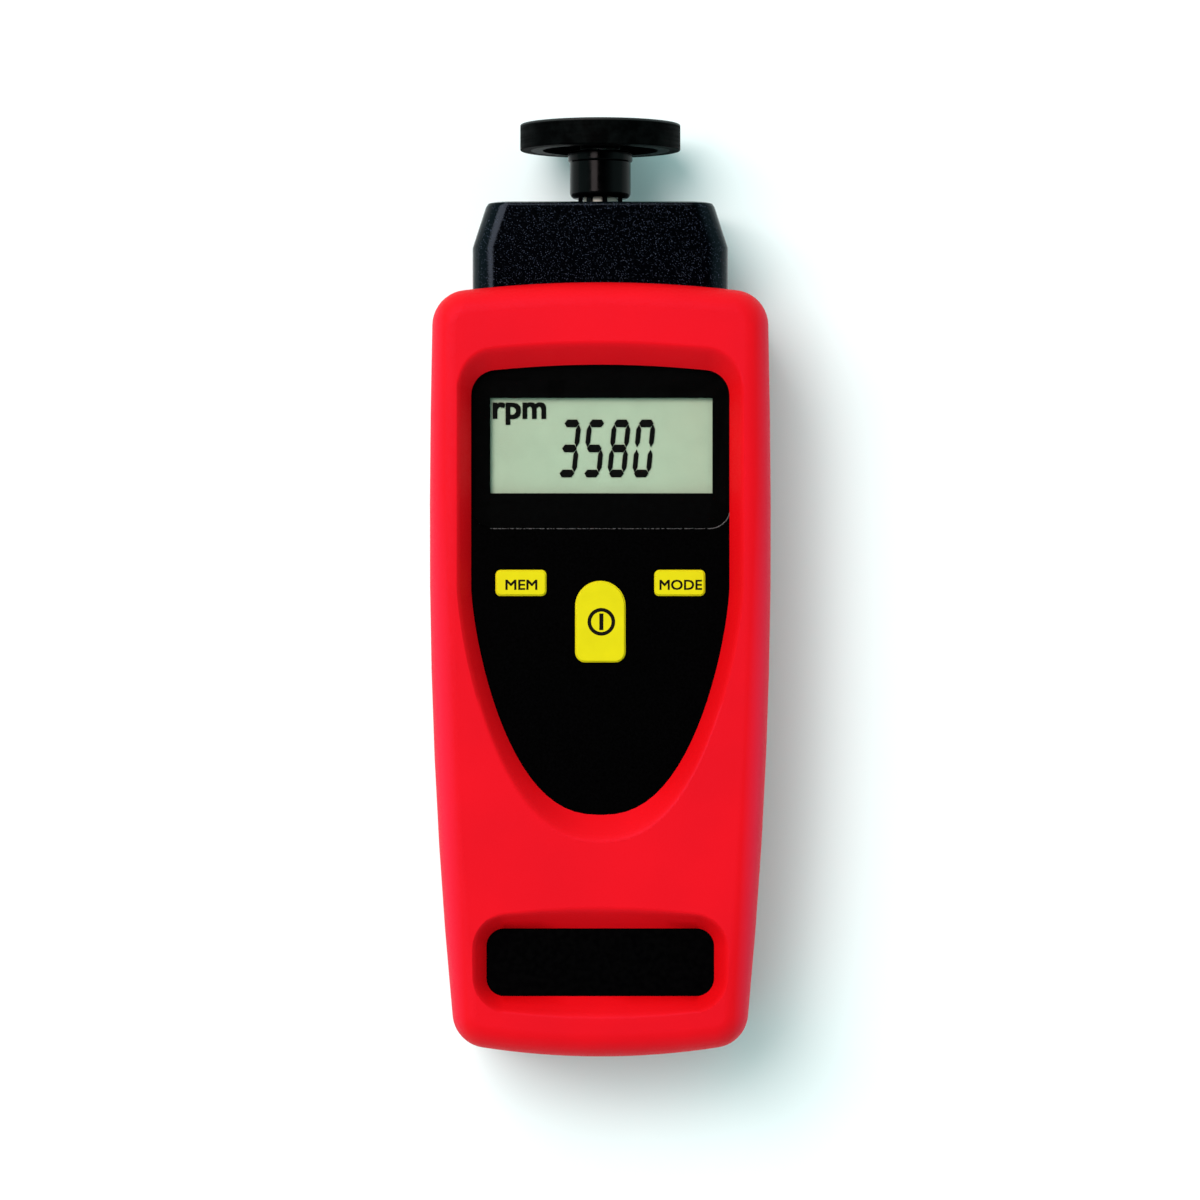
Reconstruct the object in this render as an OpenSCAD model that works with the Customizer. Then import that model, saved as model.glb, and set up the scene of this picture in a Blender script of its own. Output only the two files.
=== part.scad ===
// Handheld laser tachometer in a rubber holster, with its contact adapter and measuring wheel fitted.
// It lies on its back: +Z points out of the display, +Y towards the wheel and +X to the display's right.
// The origin is on the surface that it lies on, on the middle line and about halfway along.
// Lengths are in millimetres. Stations along the case are measured from the foot of the case.

/* [Case] */
// Width of the case at its widest
case_w = 61.7; // [58:0.1:68]
// Length of the case body, from its foot to the shoulders under the head
case_body_len = 146.7; // [144:0.1:160]
// Thickness of the closed case
case_t = 28; // [27:0.5:34]
// Wall of the two case shells
case_wall = 2; // [1.6:0.1:2.4]
// Wall at the front, which carries the display lens
front_wall = 2.5; // [2.3:0.1:3]
// Corner radius of the case outline
case_corner_r = 4; // [3:0.5:6]
// Chamfer round the front and the back of the case body
case_chamfer = 3; // [1:0.5:3.5]
// Station where the case is widest
widest_station = 99.5; // [85:0.5:110]
// Bow of the sides towards the foot, as a radius
flank_foot_r = 985; // [800:5:1500]
// Bow of the sides towards the head, as a radius
flank_top_r = 1800; // [1000:10:3000]
// Arch of the shoulder end, as a radius
top_arch_r = 238; // [180:1:400]
// Arch of the foot end, as a radius
foot_arch_r = 150; // [120:1:300]

/* [Head] */
// Set-back of the head from the widest part of the case, at each side
head_side = 5.7; // [4:0.1:8]
// How far each side of the head tapers in
head_taper_side = 2.9; // [2:0.1:4]
// Length of the head beyond the shoulders
head_len = 18.95; // [17:0.05:24]
// Length of the tapered end of the head
head_taper_len = 8.9; // [6:0.1:11]
// Radius of the long edges of the head
head_edge_r = 4.5; // [3:0.1:6]
// Small bevel round the end face of the head
head_end_bevel = 0.9; // [0.5:0.1:1.5]
// Step from the case body down to the head, at the front and at the back
head_step = 0.3; // [0.2:0.1:0.8]

/* [Holster] */
// Rubber wall at the back and round the case
holster_wall = 3; // [2.5:0.1:4]
// How much thinner the rubber is at the sides than at the back
holster_side_trim = 0.4; // [0:0.1:0.8]
// How much thinner the rubber is at the foot than at the back
holster_foot_trim = 1; // [0:0.1:1.2]
// Height of the front lip above the case front
holster_lip = 5; // [4.5:0.1:6]
// Rounding of the front edge
holster_front_r = 5; // [3:0.1:6]
// Rounding of the back edge
holster_back_r = 3; // [2:0.1:4]
// Stretch gap between the rubber and the case
holster_gap = 0.1; // [0.05:0.01:0.2]

/* [Shield opening] */
// Distance of the opening from the widest part of the case, at each side
shield_side = 5.55; // [5:0.05:7]
// Station of its top edge
shield_top_station = 133.55; // [132:0.05:135]
// Station where its straight sides end
shield_side_station = 89.95; // [85:0.05:95]
// Station of its foot
shield_foot_station = 45.35; // [44:0.05:50]
// Radius of its top corners
shield_corner_r = 5; // [3:0.5:7]
// Arch of its top edge, as a radius
shield_arch_r = 198; // [150:1:400]
// Width of the bevel at the sides
bevel_side = 2.6; // [1.5:0.1:2.8]
// Width of the bevel at the top
bevel_top = 4.4; // [3:0.1:5]
// Width of the bevel at the foot
bevel_foot = 5.1; // [3:0.1:5.5]

/* [Label window] */
// Distance of the window from the widest part of the case, at each side
label_side = 8.55; // [8.3:0.05:11]
// Height of the plate that shows
label_h = 13.3; // [11:0.1:14]
// Station of its lower edge
label_foot_station = 9.85; // [9:0.05:12]
// Radius of its corners
label_corner_r = 3.5; // [2:0.1:4.5]
// Bevel above it
label_bevel_top = 4.4; // [3:0.1:5]
// Bevel below it
label_bevel_foot = 4; // [3:0.1:4.5]
// Arch of the upper and lower edges of the bevel, as a radius
label_arch_r = 155; // [130:5:400]
// Thickness of the label plate
label_t = 0.6; // [0.4:0.1:1]

/* [Display] */
// Station of the middle of the display
display_station = 117.75; // [116:0.05:119]
// Shift of the display to the right
display_shift = 0.2; // [0:0.1:0.5]
// Black border of the lens beside the display, at each side
view_side = 3.5; // [3.3:0.1:5]
// Height of the display that shows
view_h = 18.7; // [17:0.1:19.5]
// Height of the lens
lens_h = 33.5; // [31:0.1:34]
// Station of the lower edge of the lens
lens_foot_station = 101.65; // [100.5:0.05:102.5]
// Radius of the corners of the lens
lens_corner_r = 4; // [2:0.1:5]
// Thickness of the lens
lens_t = 1.5; // [1:0.1:1.6]
// Thickness of the black mask film behind the lens
mask_t = 0.2; // [0.1:0.05:0.3]
// Thickness of the display glass
glass_t = 2.8; // [2:0.1:3]
// Border of the display glass round what shows
glass_border = 2.4; // [2:0.1:2.6]

/* [Keys] */
// Width of the two small keys
small_key_w = 9.95; // [8:0.05:11]
// Height of the two small keys
small_key_h = 5.1; // [4.5:0.1:6]
// Corner radius of the small keys
small_key_r = 1; // [0.5:0.1:1.5]
// Distance of the small keys from the middle
small_key_x = 15.55; // [14.5:0.05:17]
// Station of the middle of the small keys
small_key_station = 90.8; // [89:0.1:92]
// Width of the power key
power_key_w = 9.85; // [8.5:0.05:10.5]
// Length of the power key
power_key_len = 15.95; // [14:0.05:17]
// Corner radius at the foot of the power key
power_key_r = 2; // [1:0.1:3]
// Station of the foot of the power key
power_key_station = 75.25; // [74:0.05:76]
// How far the keys stand above the panel
key_stand = 0.9; // [0.6:0.1:1.5]
// Travel of a key
key_travel = 0.4; // [0.3:0.05:0.5]
// Gap round a key in its hole
key_gap = 0.15; // [0.1:0.01:0.25]

/* [Electronics] */
// Thickness of the circuit board
pcb_t = 1.6; // [1:0.1:2]
// Distance of the circuit board from the widest part of the case, at each side
pcb_side = 4.85; // [4:0.05:6]
// Distance of the neck of the board from the sides of the head
pcb_neck_side = 8.15; // [7:0.05:10]
// Side of a key switch
switch_w = 6; // [5:0.1:6.5]
// Height of a key switch without its plunger
switch_h = 3.5; // [3:0.1:3.6]

/* [Battery] */
// Diameter of a cell
cell_d = 14.2; // [13.5:0.1:14.5]
// Length of a cell with its contact stud
cell_len = 50.2; // [49.5:0.1:50.5]
// Station of the hinged end of the battery door
door_station = 71.5; // [71:0.1:73]

/* [Adapter] */
// Gap between the head and the barrel
adapter_gap = 1.5; // [1:0.1:2.5]
// Diameter of the barrel
barrel_d = 12.1; // [11.5:0.1:14]
// Length of the barrel
barrel_len = 7.2; // [7:0.1:12]
// Diameter of the end cap
cap_d = 12.8; // [12:0.1:15]
// Thickness of the end cap
cap_t = 2.2; // [1.5:0.1:3]
// Diameter of the port that takes the claws
port_d = 9; // [8.6:0.1:10]
// Depth of the port in the optics block
port_depth = 6.1; // [5:0.1:8]
// Diameter of the spindle
spindle_d = 2.96; // [2.5:0.01:3.2]
// Diameter of the sensing rotor
rotor_d = 6.6; // [6:0.1:6.8]

/* [Wheel] */
// Diameter of the wheel over its tyre, which gives 0.1 m for each turn
wheel_d = 31.83; // [28:0.01:33]
// Width of the wheel
wheel_w = 5.15; // [5:0.05:8]
// Depth of the tyre
tyre_t = 2.1; // [1.5:0.1:3]
// Depth of the rim ring
rim_t = 2.3; // [1.5:0.1:3]
// Thickness of the web
web_t = 1.5; // [1:0.1:2]
// Diameter of the hub
hub_d = 8; // [7:0.1:10]

/* [Hidden] */
$fn = 64;

// Widths that follow the case
head_w = case_w - 2 * head_side;
head_end_w = head_w - 2 * head_taper_side;
shield_w = case_w - 2 * shield_side;
label_w = case_w - 2 * label_side;
lens_w = shield_w;
view_w = lens_w - 2 * view_side;
pcb_w = case_w - 2 * pcb_side;
pcb_neck_w = head_w - 2 * pcb_neck_side;

// Heights above the surface
back_z = holster_wall;
mid_z = back_z + case_t / 2;
front_z = back_z + case_t;
inner_front_z = front_z - front_wall;
inner_back_z = back_z + case_wall;
holster_h = front_z + holster_lip;

// Stations turned into places along Y
wheel_gap = 0.2;
total_len = holster_wall + case_body_len + head_len + adapter_gap + barrel_len + cap_t + wheel_gap + wheel_w;
case_foot_y = holster_wall - total_len / 2;
shoulder_y = case_foot_y + case_body_len;
head_end_y = shoulder_y + head_len;
widest_y = case_foot_y + widest_station;
barrel_y = head_end_y + adapter_gap;
cap_y = barrel_y + barrel_len;
wheel_y = cap_y + cap_t + wheel_gap;
label_y = case_foot_y + label_foot_station + label_h / 2;

// Small clearances and overruns
cut = 1;
bite = 1;
sliver = 0.01;
seat_gap = 0.1;
fit_gap = 0.05;
run_gap = 0.02;

// Fineness of the outlines: steps along each stretch of the case, and how much finer the rubber skin is
corner_steps = 5;
flank_steps = 4;
end_steps = 4;
skin_fineness = 2;
shield_steps = 22;
shield_corner_steps = 8;
shield_end_steps = 6;
window_corner_steps = 8;
window_edge_steps = 6;
round_steps = 5;
head_edge_steps = 8;
shell_fn = 32;

// Display and what holds it
lens_gap = 0.1;
lens_ledge = 1.6;
display_y = case_foot_y + display_station;
lens_y = case_foot_y + lens_foot_station + lens_h / 2;
lens_floor_z = front_z - lens_t - mask_t;
glass_top_z = inner_front_z - seat_gap;
glass_w = view_w + 2 * glass_border;
glass_h = view_h + 2 * glass_border;
frame_wall = 1;
frame_ledge = 1;
strip_w = 2.4;
strip_inset = 0.4;

// Keys, switches and board
key_flange_t = 1;
key_flange_lip = 0.9;
key_crown = 0.4;
key_stem_d = 3;
plunger_h = 0.8;
plunger_d = 3.4;
key_idle_gap = 0.05;
pcb_drop = 6.5;
pcb_top_z = inner_front_z - pcb_drop;
pcb_z = pcb_top_z - pcb_t;
plunger_top_z = pcb_top_z + switch_h + plunger_h;
stem_z = plunger_top_z + key_travel + key_idle_gap;
small_key_y = case_foot_y + small_key_station;
power_key_y = case_foot_y + power_key_station;
power_switch_y = power_key_y + power_key_len / 2;
pcb_foot_y = case_foot_y + door_station - case_wall;
pcb_shoulder_y = display_y + glass_h / 2 + frame_wall + 5 * seat_gap + case_wall;
pcb_end_gap = 2.2;
pcb_end_y = head_end_y - case_wall - seat_gap - port_depth - cell_d / 2 - pcb_end_gap;
pcb_corner_r = 2;
pcb_screw_d = 2;
pcb_screw_head_d = 3.8;
pcb_screw_head_t = 1.3;
pcb_screw_len = 5;
pcb_boss_d = 5;
pcb_screw_side = 4;
chip_w = 10;
chip_t = 1.6;
chip_stand = 0.1;
leg_w = 0.4;
leg_pitch = 1;
leg_reach = 0.9;
leg_t = 0.3;
legs = floor((chip_w - 2 * leg_pitch) / leg_pitch);
can_len = 10.5;
can_w = 4.5;
can_h = 3.4;
pcb_screw_places = [
    for (side = [-1, 1]) [side * (pcb_w / 2 - pcb_screw_side), pcb_foot_y + pcb_screw_side],
    for (side = [-1, 1]) [side * (pcb_neck_w / 2 - pcb_screw_side), pcb_end_y - pcb_screw_side]
];

// Screws that close the case
screw_d = 3;
screw_head_d = 5.6;
screw_head_t = 2;
screw_sink = 3.5;
screw_len = 15;
screw_slot_w = 0.8;
boss_d = 7;
boss_side = 3.2;
screw_foot_station = 17.5;
screw_top_station = 140.5;
screw_places = [
    for (side = [-1, 1], station = [screw_foot_station, screw_top_station])
        [side * (flank(case_foot_y + station, case_wall + boss_side + case_wall)), case_foot_y + station]
];

// Battery well and door
cell_gap = 0.3;
cell_nub_d = 5.5;
cell_nub_len = 1;
cell_rim_r = 0.8;
plate_t = 0.4;
spring_len = 5.4;
spring_wire_d = 0.8;
spring_r = 4.4;
spring_tip_r = 2.4;
spring_turns = 4;
spring_sides = 6;
spring_steps_per_turn = 10;
well_wall = 1.4;
door_seat = 0.2;
door_gap = 0.25;
door_overlap = 2.2;
door_end_t = 1.2;
hook_w = 5;
hook_len = 2.8;
hook_t = 1;
hook_x = 9;
door_grip_w = 18;
door_grip_t = 0.6;
door_grip_pitch = 2;
door_corner_r = 2;
latch_w = 10;
latch_t = 1;
latch_h = 4;
latch_nose_t = 1.2;
hinge_end_len = 4.5;
door_y = case_foot_y + door_station;
well_top_y = door_y - hinge_end_len;
well_len = 2 * plate_t + spring_len + cell_len + 4 * seat_gap;
well_foot_y = well_top_y - well_len;
well_half = cell_d + 2 * cell_gap;
door_half = well_half + door_overlap;
door_foot_y = well_foot_y - well_wall - door_overlap;
cell_z = inner_back_z + door_seat + cell_gap + cell_d / 2;
cell_x = (cell_d + cell_gap) / 2;
well_roof_z = cell_z + cell_d / 2 + cell_gap;
back_window_side = screw_head_d + 1;
back_window_end = 3.5;
back_window_flare = 0.75;

// Optical head
optics_w = 24;
optics_h = 17;
optics_window_t = 1.5;
optics_body_len = 6.3;
laser_d = 5.6;
photodiode_d = 5;
eye_x = 3.2;
eye_d = 1.6;
lead_d = 0.5;
lead_len = 3;
lead_x = 1.2;
optics_end_y = head_end_y - case_wall - seat_gap;
window_y = optics_end_y - port_depth;
optics_y = window_y - optics_window_t - optics_body_len;
optics_rib_t = 1.5;

// Contact adapter
claw_gap = 0.1;
claw_t = 0.9;
claw_w = 0.95;
claw_ring_len = 1.6;
claw_tip_gap = 0.8;
claw_angles = [-33, 12, 90];
claw_r = port_d / 2 - claw_gap;
claw_len = adapter_gap + case_wall + seat_gap + port_depth - claw_tip_gap;
barrel_round = 1.2;
cap_round = 0.5;
bush_d = 8;
bush_len = 2.6;
bush_bore_d = spindle_d + 2 * run_gap;
bush_shelf = 1.2;
cap_bore_gap = 0.6;
rotor_gap = 0.3;
notch_w = 1.2;
notch_t = 0.6;
hub_gap = 0.3;
hub_recess = 0.6;
spindle_tip = 0.6;
tyre_gap = 0.05;
tyre_crown = 0.25;
rotor_y = barrel_y - claw_len + claw_ring_len + rotor_gap;
rotor_len = barrel_y + bush_shelf - rotor_gap - rotor_y;
spindle_end_y = wheel_y + wheel_w - spindle_tip;

// Colours
black_plastic = [0.05, 0.05, 0.055];
red_rubber = [0.88, 0.1, 0.13];
key_yellow = [0.94, 0.88, 0.1];

// Half-width of the case outline at a place along Y, set in by an inset (set out where it is negative)
function flank(y, inset) =
    case_w / 2 - inset - pow(y - widest_y, 2) / (2 * (y > widest_y ? flank_top_r : flank_foot_r));
function flank_slope(y) = (y - widest_y) / (y > widest_y ? flank_top_r : flank_foot_r);
function top_edge(x, inset) = shoulder_y - inset - x * x / (2 * top_arch_r);
function foot_edge(x, inset) = case_foot_y + inset + x * x / (2 * foot_arch_r);

// Factor by which a slope lengthens an offset measured along an axis
function lean(slope) = sqrt(1 + slope * slope);

// Centres of the corner arcs, closed in on by a few repeats
function top_corner(inset, r, at, repeats = 4) = repeats == 0 ? at : top_corner(inset, r, [
    flank(at[1], inset) - r * lean(flank_slope(at[1])),
    top_edge(at[0], inset) - r * lean(at[0] / top_arch_r)
], repeats - 1);
function foot_corner(inset, r, at, repeats = 4) = repeats == 0 ? at : foot_corner(inset, r, [
    flank(at[1], inset) - r * lean(flank_slope(at[1])),
    foot_edge(at[0], inset) + r * lean(at[0] / foot_arch_r)
], repeats - 1);
function arc(centre, r, from, to, steps) = [
    for (i = [0:steps]) let (a = from + (to - from) * i / steps) centre + r * [cos(a), sin(a)]
];

// Right half of the case outline, from the middle of the foot round to the middle of the shoulder end
function outline_half(inset, fine) =
    let (
        r = max(case_corner_r - inset, case_corner_r / 4),
        top = top_corner(inset, r, [case_w / 2 - r, shoulder_y - r]),
        foot = foot_corner(inset, r, [case_w / 2 - r, case_foot_y + r]),
        foot_from = atan(foot[0] / foot_arch_r) - 90,
        foot_to = atan(flank_slope(foot[1])),
        top_from = atan(flank_slope(top[1])),
        top_to = 90 - atan(top[0] / top_arch_r),
        foot_x = foot[0] + r * cos(foot_from),
        top_x = top[0] + r * cos(top_to),
        side_from = foot[1] + r * sin(foot_to),
        side_to = top[1] + r * sin(top_from),
        ends = end_steps * fine,
        sides = flank_steps * fine
    )
    concat(
        [for (i = [0:ends - 1]) let (x = foot_x * i / ends) [x, foot_edge(x, inset)]],
        arc(foot, r, foot_from, foot_to, corner_steps * fine),
        [for (i = [1:sides - 1]) let (y = side_from + (side_to - side_from) * i / sides) [flank(y, inset), y]],
        arc(top, r, top_from, top_to, corner_steps * fine),
        [for (i = [ends - 1:-1:0]) let (x = top_x * i / ends) [x, top_edge(x, inset)]]
    );

// A whole outline from its right half, whose first and last points lie on the middle line
function both_sides(half) = concat(half, [for (i = [len(half) - 2:-1:1]) [-half[i][0], half[i][1]]]);
function case_outline(inset, fine = 1) = both_sides(outline_half(inset, fine));

// Shield outline: an arched top with round corners, straight sides and a full, narrowing foot
shield_fall_share = 1.45;
shield_flare_share = 2.4;
function shield_outline(side, top, foot) =
    let (
        half = shield_w / 2 + side,
        top_y = case_foot_y + shield_top_station + top,
        side_y = case_foot_y + shield_side_station,
        foot_y = case_foot_y + shield_foot_station - foot,
        r = shield_corner_r + side,
        corner = [half - r, top_y - r - pow(half - r, 2) / (2 * shield_arch_r)],
        slope = asin((half - r) / shield_arch_r),
        top_x = corner[0] + r * sin(slope)
    )
    both_sides(concat(
        [for (i = [0:shield_steps]) let (a = 90 * i / shield_steps) [
            half * pow(sin(a), 2 / shield_flare_share),
            side_y - (side_y - foot_y) * pow(cos(a), 2 / shield_fall_share)
        ]],
        arc(corner, r, 0, 90 - slope, shield_corner_steps),
        [for (i = [shield_end_steps - 1:-1:0]) let (x = top_x * i / shield_end_steps) [x, top_y - x * x / (2 * shield_arch_r)]]
    ));

// Rectangle with round corners, centred
module rounded_rect(w, h, r) {
    square([w - 2 * r, h], center = true);
    square([w, h - 2 * r], center = true);
    for (x = [-1, 1], y = [-1, 1])
        translate([x * (w / 2 - r), y * (h / 2 - r)])
            circle(r);
}

// A stack of outlines with equal counts of points, skinned into one solid: levels holds [z, points]
module loft(levels) {
    count = len(levels[0][1]);
    last = len(levels) - 1;
    polyhedron(
        points = [for (level = levels, p = level[1]) [p[0], p[1], level[0]]],
        faces = concat(
            [[for (i = [0:count - 1]) i]],
            [[for (i = [count - 1:-1:0]) last * count + i]],
            [for (k = [0:last - 1], i = [0:count - 1])
                let (n = (i + 1) % count)
                [k * count + i, (k + 1) * count + i, (k + 1) * count + n, k * count + n]]
        ),
        convexity = 4
    );
}

// Points of a rectangle with round corners, centred on the middle line at a place along Y, and its bowed outline
function plain_window(w, h, r, y) = [
    for (i = [0:3]) let (
        sx = i == 0 || i == 3 ? 1 : -1,
        sy = i < 2 ? 1 : -1
    )
    each concat(
        arc([sx * (w / 2 - r), y + sy * (h / 2 - r)], r, 90 * i, 90 * (i + 1), window_corner_steps),
        i % 2 == 1 ? [] : [
            for (k = [1:window_edge_steps - 1])
                [sx * (w / 2 - r) * (1 - 2 * k / window_edge_steps), y + sy * h / 2]
        ]
    )
];
function window_points(w, h, r, y, bow = 0) = [
    for (p = plain_window(w, h, r, y)) [p[0], p[1] - sign(p[1] - y) * bow * p[0] * p[0] / 2]
];

// Turns a shape built along +Z onto the axis of the adapter, from a place along Y
module on_axis(y, x = 0) {
    translate([x, y, mid_z])
        rotate([-90, 0, 0])
            children();
}

// Cylinder wall along +Z
module tube(outer_d, inner_d, length) {
    difference() {
        cylinder(d = outer_d, h = length);
        translate([0, 0, -cut])
            cylinder(d = inner_d, h = length + 2 * cut);
    }
}

// Front half of a cross-section of the head, set in by an inset, as points [x, height over the parting plane]
function head_ring(w, inset) =
    let (
        half = w / 2 - inset,
        rise = case_t / 2 - head_step - inset,
        r = head_edge_r - inset / 2
    )
    concat(
        [[half, 0]],
        arc([half - r, rise - r], r, 0, 90, head_edge_steps),
        arc([r - half, rise - r], r, 90, 180, head_edge_steps),
        [[-half, 0]]
    );

// Front half of the head, set in by an inset all round, skinned from section to section
module head_half(inset) {
    slope = (head_w - head_end_w) / head_taper_len;
    end_y = head_end_y - inset;
    sections = [
        [shoulder_y - 2 * case_corner_r - inset, head_w, inset],
        [head_end_y - head_taper_len, head_w, inset],
        [end_y - head_end_bevel, head_end_w + slope * head_end_bevel, inset],
        [end_y - head_end_bevel / 4, head_end_w + slope * head_end_bevel / 4, inset + head_end_bevel / 4],
        [end_y, head_end_w, inset + head_end_bevel]
    ];
    rotate([90, 0, 0])
        for (i = [1:len(sections) - 1])
            hull()
                loft([for (at = [sections[i], sections[i - 1]]) [-at[0], head_ring(at[1], at[2])]]);
}

// Front half of the case body, set in by an inset at the sides and by a wall at the front
module body_half(inset, wall) {
    loft([
        [0, case_outline(inset)],
        [case_t / 2 - wall - case_chamfer, case_outline(inset)],
        [case_t / 2 - wall, case_outline(inset + case_chamfer)]
    ]);
}

// Half of the empty case, standing on the parting plane
module half_shell(wall) {
    difference() {
        union() {
            body_half(0, 0);
            head_half(0);
        }
        translate([0, 0, -sliver])
            body_half(case_wall, wall - sliver);
        translate([0, 0, -sliver])
            head_half(case_wall);
    }
}

// Key outlines
module small_key_shape(grow) {
    rounded_rect(small_key_w + 2 * grow, small_key_h + 2 * grow, small_key_r + grow);
}
module power_key_shape(grow) {
    w = power_key_w + 2 * grow;
    r = power_key_r + grow;
    top_y = power_key_len - power_key_w / 2;
    translate([0, top_y])
        circle(d = w);
    translate([-w / 2, power_key_r])
        square([w, top_y - power_key_r]);
    translate([power_key_r - power_key_w / 2, -grow])
        square([power_key_w - 2 * power_key_r, 2 * r]);
    for (side = [-1, 1])
        translate([side * (power_key_w / 2 - power_key_r), power_key_r])
            circle(r);
}

// How the bevel of an opening rises and spreads from the panel to the front of the rubber
bevel_rise_share = [0, 0.5, 0.78, 0.92, 1];
bevel_spread_share = [0, 0.45, 0.72, 0.88, 1.04];
bevel_edge = 0.6;
bevel_last = len(bevel_rise_share) - 1;
bevel_low_z = front_z + bevel_edge;

// Heights of a bevelled opening with the spread of the bevel at each
bevel_levels = concat(
    [[front_z - cut, 0]],
    [for (i = [0:bevel_last]) [bevel_low_z + (holster_h - bevel_low_z) * bevel_rise_share[i], bevel_spread_share[i]]],
    [[holster_h + cut, bevel_spread_share[bevel_last]]]
);

// Space that the case takes inside the rubber
module holster_cavity() {
    translate([0, 0, mid_z])
        for (flip = [0, 1])
            mirror([0, 0, flip]) {
                body_half(-holster_gap, -holster_gap);
                head_half(-holster_gap);
            }
}

module shield_cutter() {
    loft([
        for (level = bevel_levels)
            [level[0], shield_outline(bevel_side * level[1], bevel_top * level[1], bevel_foot * level[1])]
    ]);
}

module label_cutter() {
    loft([
        for (level = bevel_levels)
            [level[0], window_points(
                label_w + 2 * bevel_side * level[1],
                label_h + (label_bevel_top + label_bevel_foot) * level[1],
                label_corner_r + bevel_side * level[1],
                label_y + (label_bevel_top - label_bevel_foot) * level[1] / 2,
                level[1] / label_arch_r
            )]
    ]);
}

// Window in the back of the rubber, round the battery door, flared outwards
module back_window() {
    loft([
        for (level = [[-cut, back_window_flare + cut], [back_window_flare, 0], [back_z + cut, 0]])
            [level[0], window_points(
                2 * (door_half + back_window_side + level[1]),
                door_y - door_foot_y + 2 * (back_window_end + level[1]),
                back_window_end + level[1],
                (door_y + door_foot_y) / 2
            )]
    ]);
}

// Outline of the rubber skin, set in by an inset: drawn in a little at the sides, and more and more towards the foot
function skin_outline(inset) = [
    for (p = case_outline(inset - holster_wall, skin_fineness))
        let (foot_share = max(widest_y - p[1], 0) / (widest_y - case_foot_y + holster_wall))
        [p[0] * (1 - 2 * holster_side_trim / case_w), p[1] + holster_foot_trim * foot_share * foot_share]
];

// Rubber boot that is stretched over the case
module holster() {
    color(red_rubber)
        difference() {
            loft(concat(
                [for (i = [0:round_steps]) let (a = 90 * i / round_steps)
                    [holster_back_r * (1 - cos(a)), skin_outline(holster_back_r * (1 - sin(a)))]],
                [for (i = [0:round_steps]) let (a = 90 * i / round_steps)
                    [holster_h - holster_front_r * (1 - sin(a)), skin_outline(holster_front_r * (1 - cos(a)))]]
            ));
            holster_cavity();
            shield_cutter();
            label_cutter();
            back_window();
        }
}

// Front shell: black panel, lens seat, key holes, bosses for the board and the screws
module front_case() {
    $fn = shell_fn;
    boss_len = case_t / 2 - front_wall + bite;
    color(black_plastic)
        difference() {
            union() {
                translate([0, 0, mid_z])
                    half_shell(front_wall);
                for (at = screw_places)
                    translate([at[0], at[1], mid_z])
                        cylinder(d = boss_d, h = boss_len);
                for (at = pcb_screw_places)
                    translate([at[0], at[1], pcb_top_z])
                        cylinder(d = pcb_boss_d, h = pcb_drop + bite);
                for (side = [-1, 1])
                    translate([side * optics_w / 4 - optics_rib_t / 2, optics_y + optics_rib_t, mid_z + optics_h / 2 + seat_gap])
                        cube([optics_rib_t, optics_end_y - optics_y - 2 * optics_rib_t, inner_front_z - mid_z - optics_h / 2 + bite]);
            }
            lens_seat();
            label_seat();
            for (side = [-1, 1])
                translate([side * small_key_x, small_key_y, inner_front_z - cut])
                    linear_extrude(front_wall + 2 * cut)
                        small_key_shape(key_gap);
            translate([0, power_key_y, inner_front_z - cut])
                linear_extrude(front_wall + 2 * cut)
                    power_key_shape(key_gap);
            for (at = screw_places)
                translate([at[0], at[1], mid_z - cut])
                    cylinder(d = screw_d + 2 * run_gap, h = screw_len - screw_sink + cut);
            for (at = pcb_screw_places)
                translate([at[0], at[1], pcb_top_z - cut])
                    cylinder(d = pcb_screw_d + 2 * run_gap, h = pcb_screw_len - pcb_t + 2 * cut);
            port_hole();
        }
}

// Recess for the lens and its mask, with the display opening through its floor
module lens_seat() {
    translate([0, lens_y, lens_floor_z])
        linear_extrude(lens_t + mask_t + cut)
            rounded_rect(lens_w + 2 * lens_gap, lens_h + 2 * lens_gap, lens_corner_r);
    translate([display_shift, display_y, inner_front_z - cut])
        linear_extrude(front_wall + 2 * cut)
            square([view_w + lens_ledge, view_h + lens_ledge], center = true);
}

module label_seat() {
    translate([0, label_y, front_z - label_t])
        linear_extrude(label_t + cut)
            rounded_rect(label_w + 2 * case_wall, label_h + 2 * case_wall, label_corner_r);
}

// Half of the round opening for the adapter falls in each shell
module port_hole() {
    on_axis(head_end_y - case_wall - cut)
        cylinder(d = port_d + 2 * seat_gap, h = case_wall + 2 * cut);
}

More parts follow.
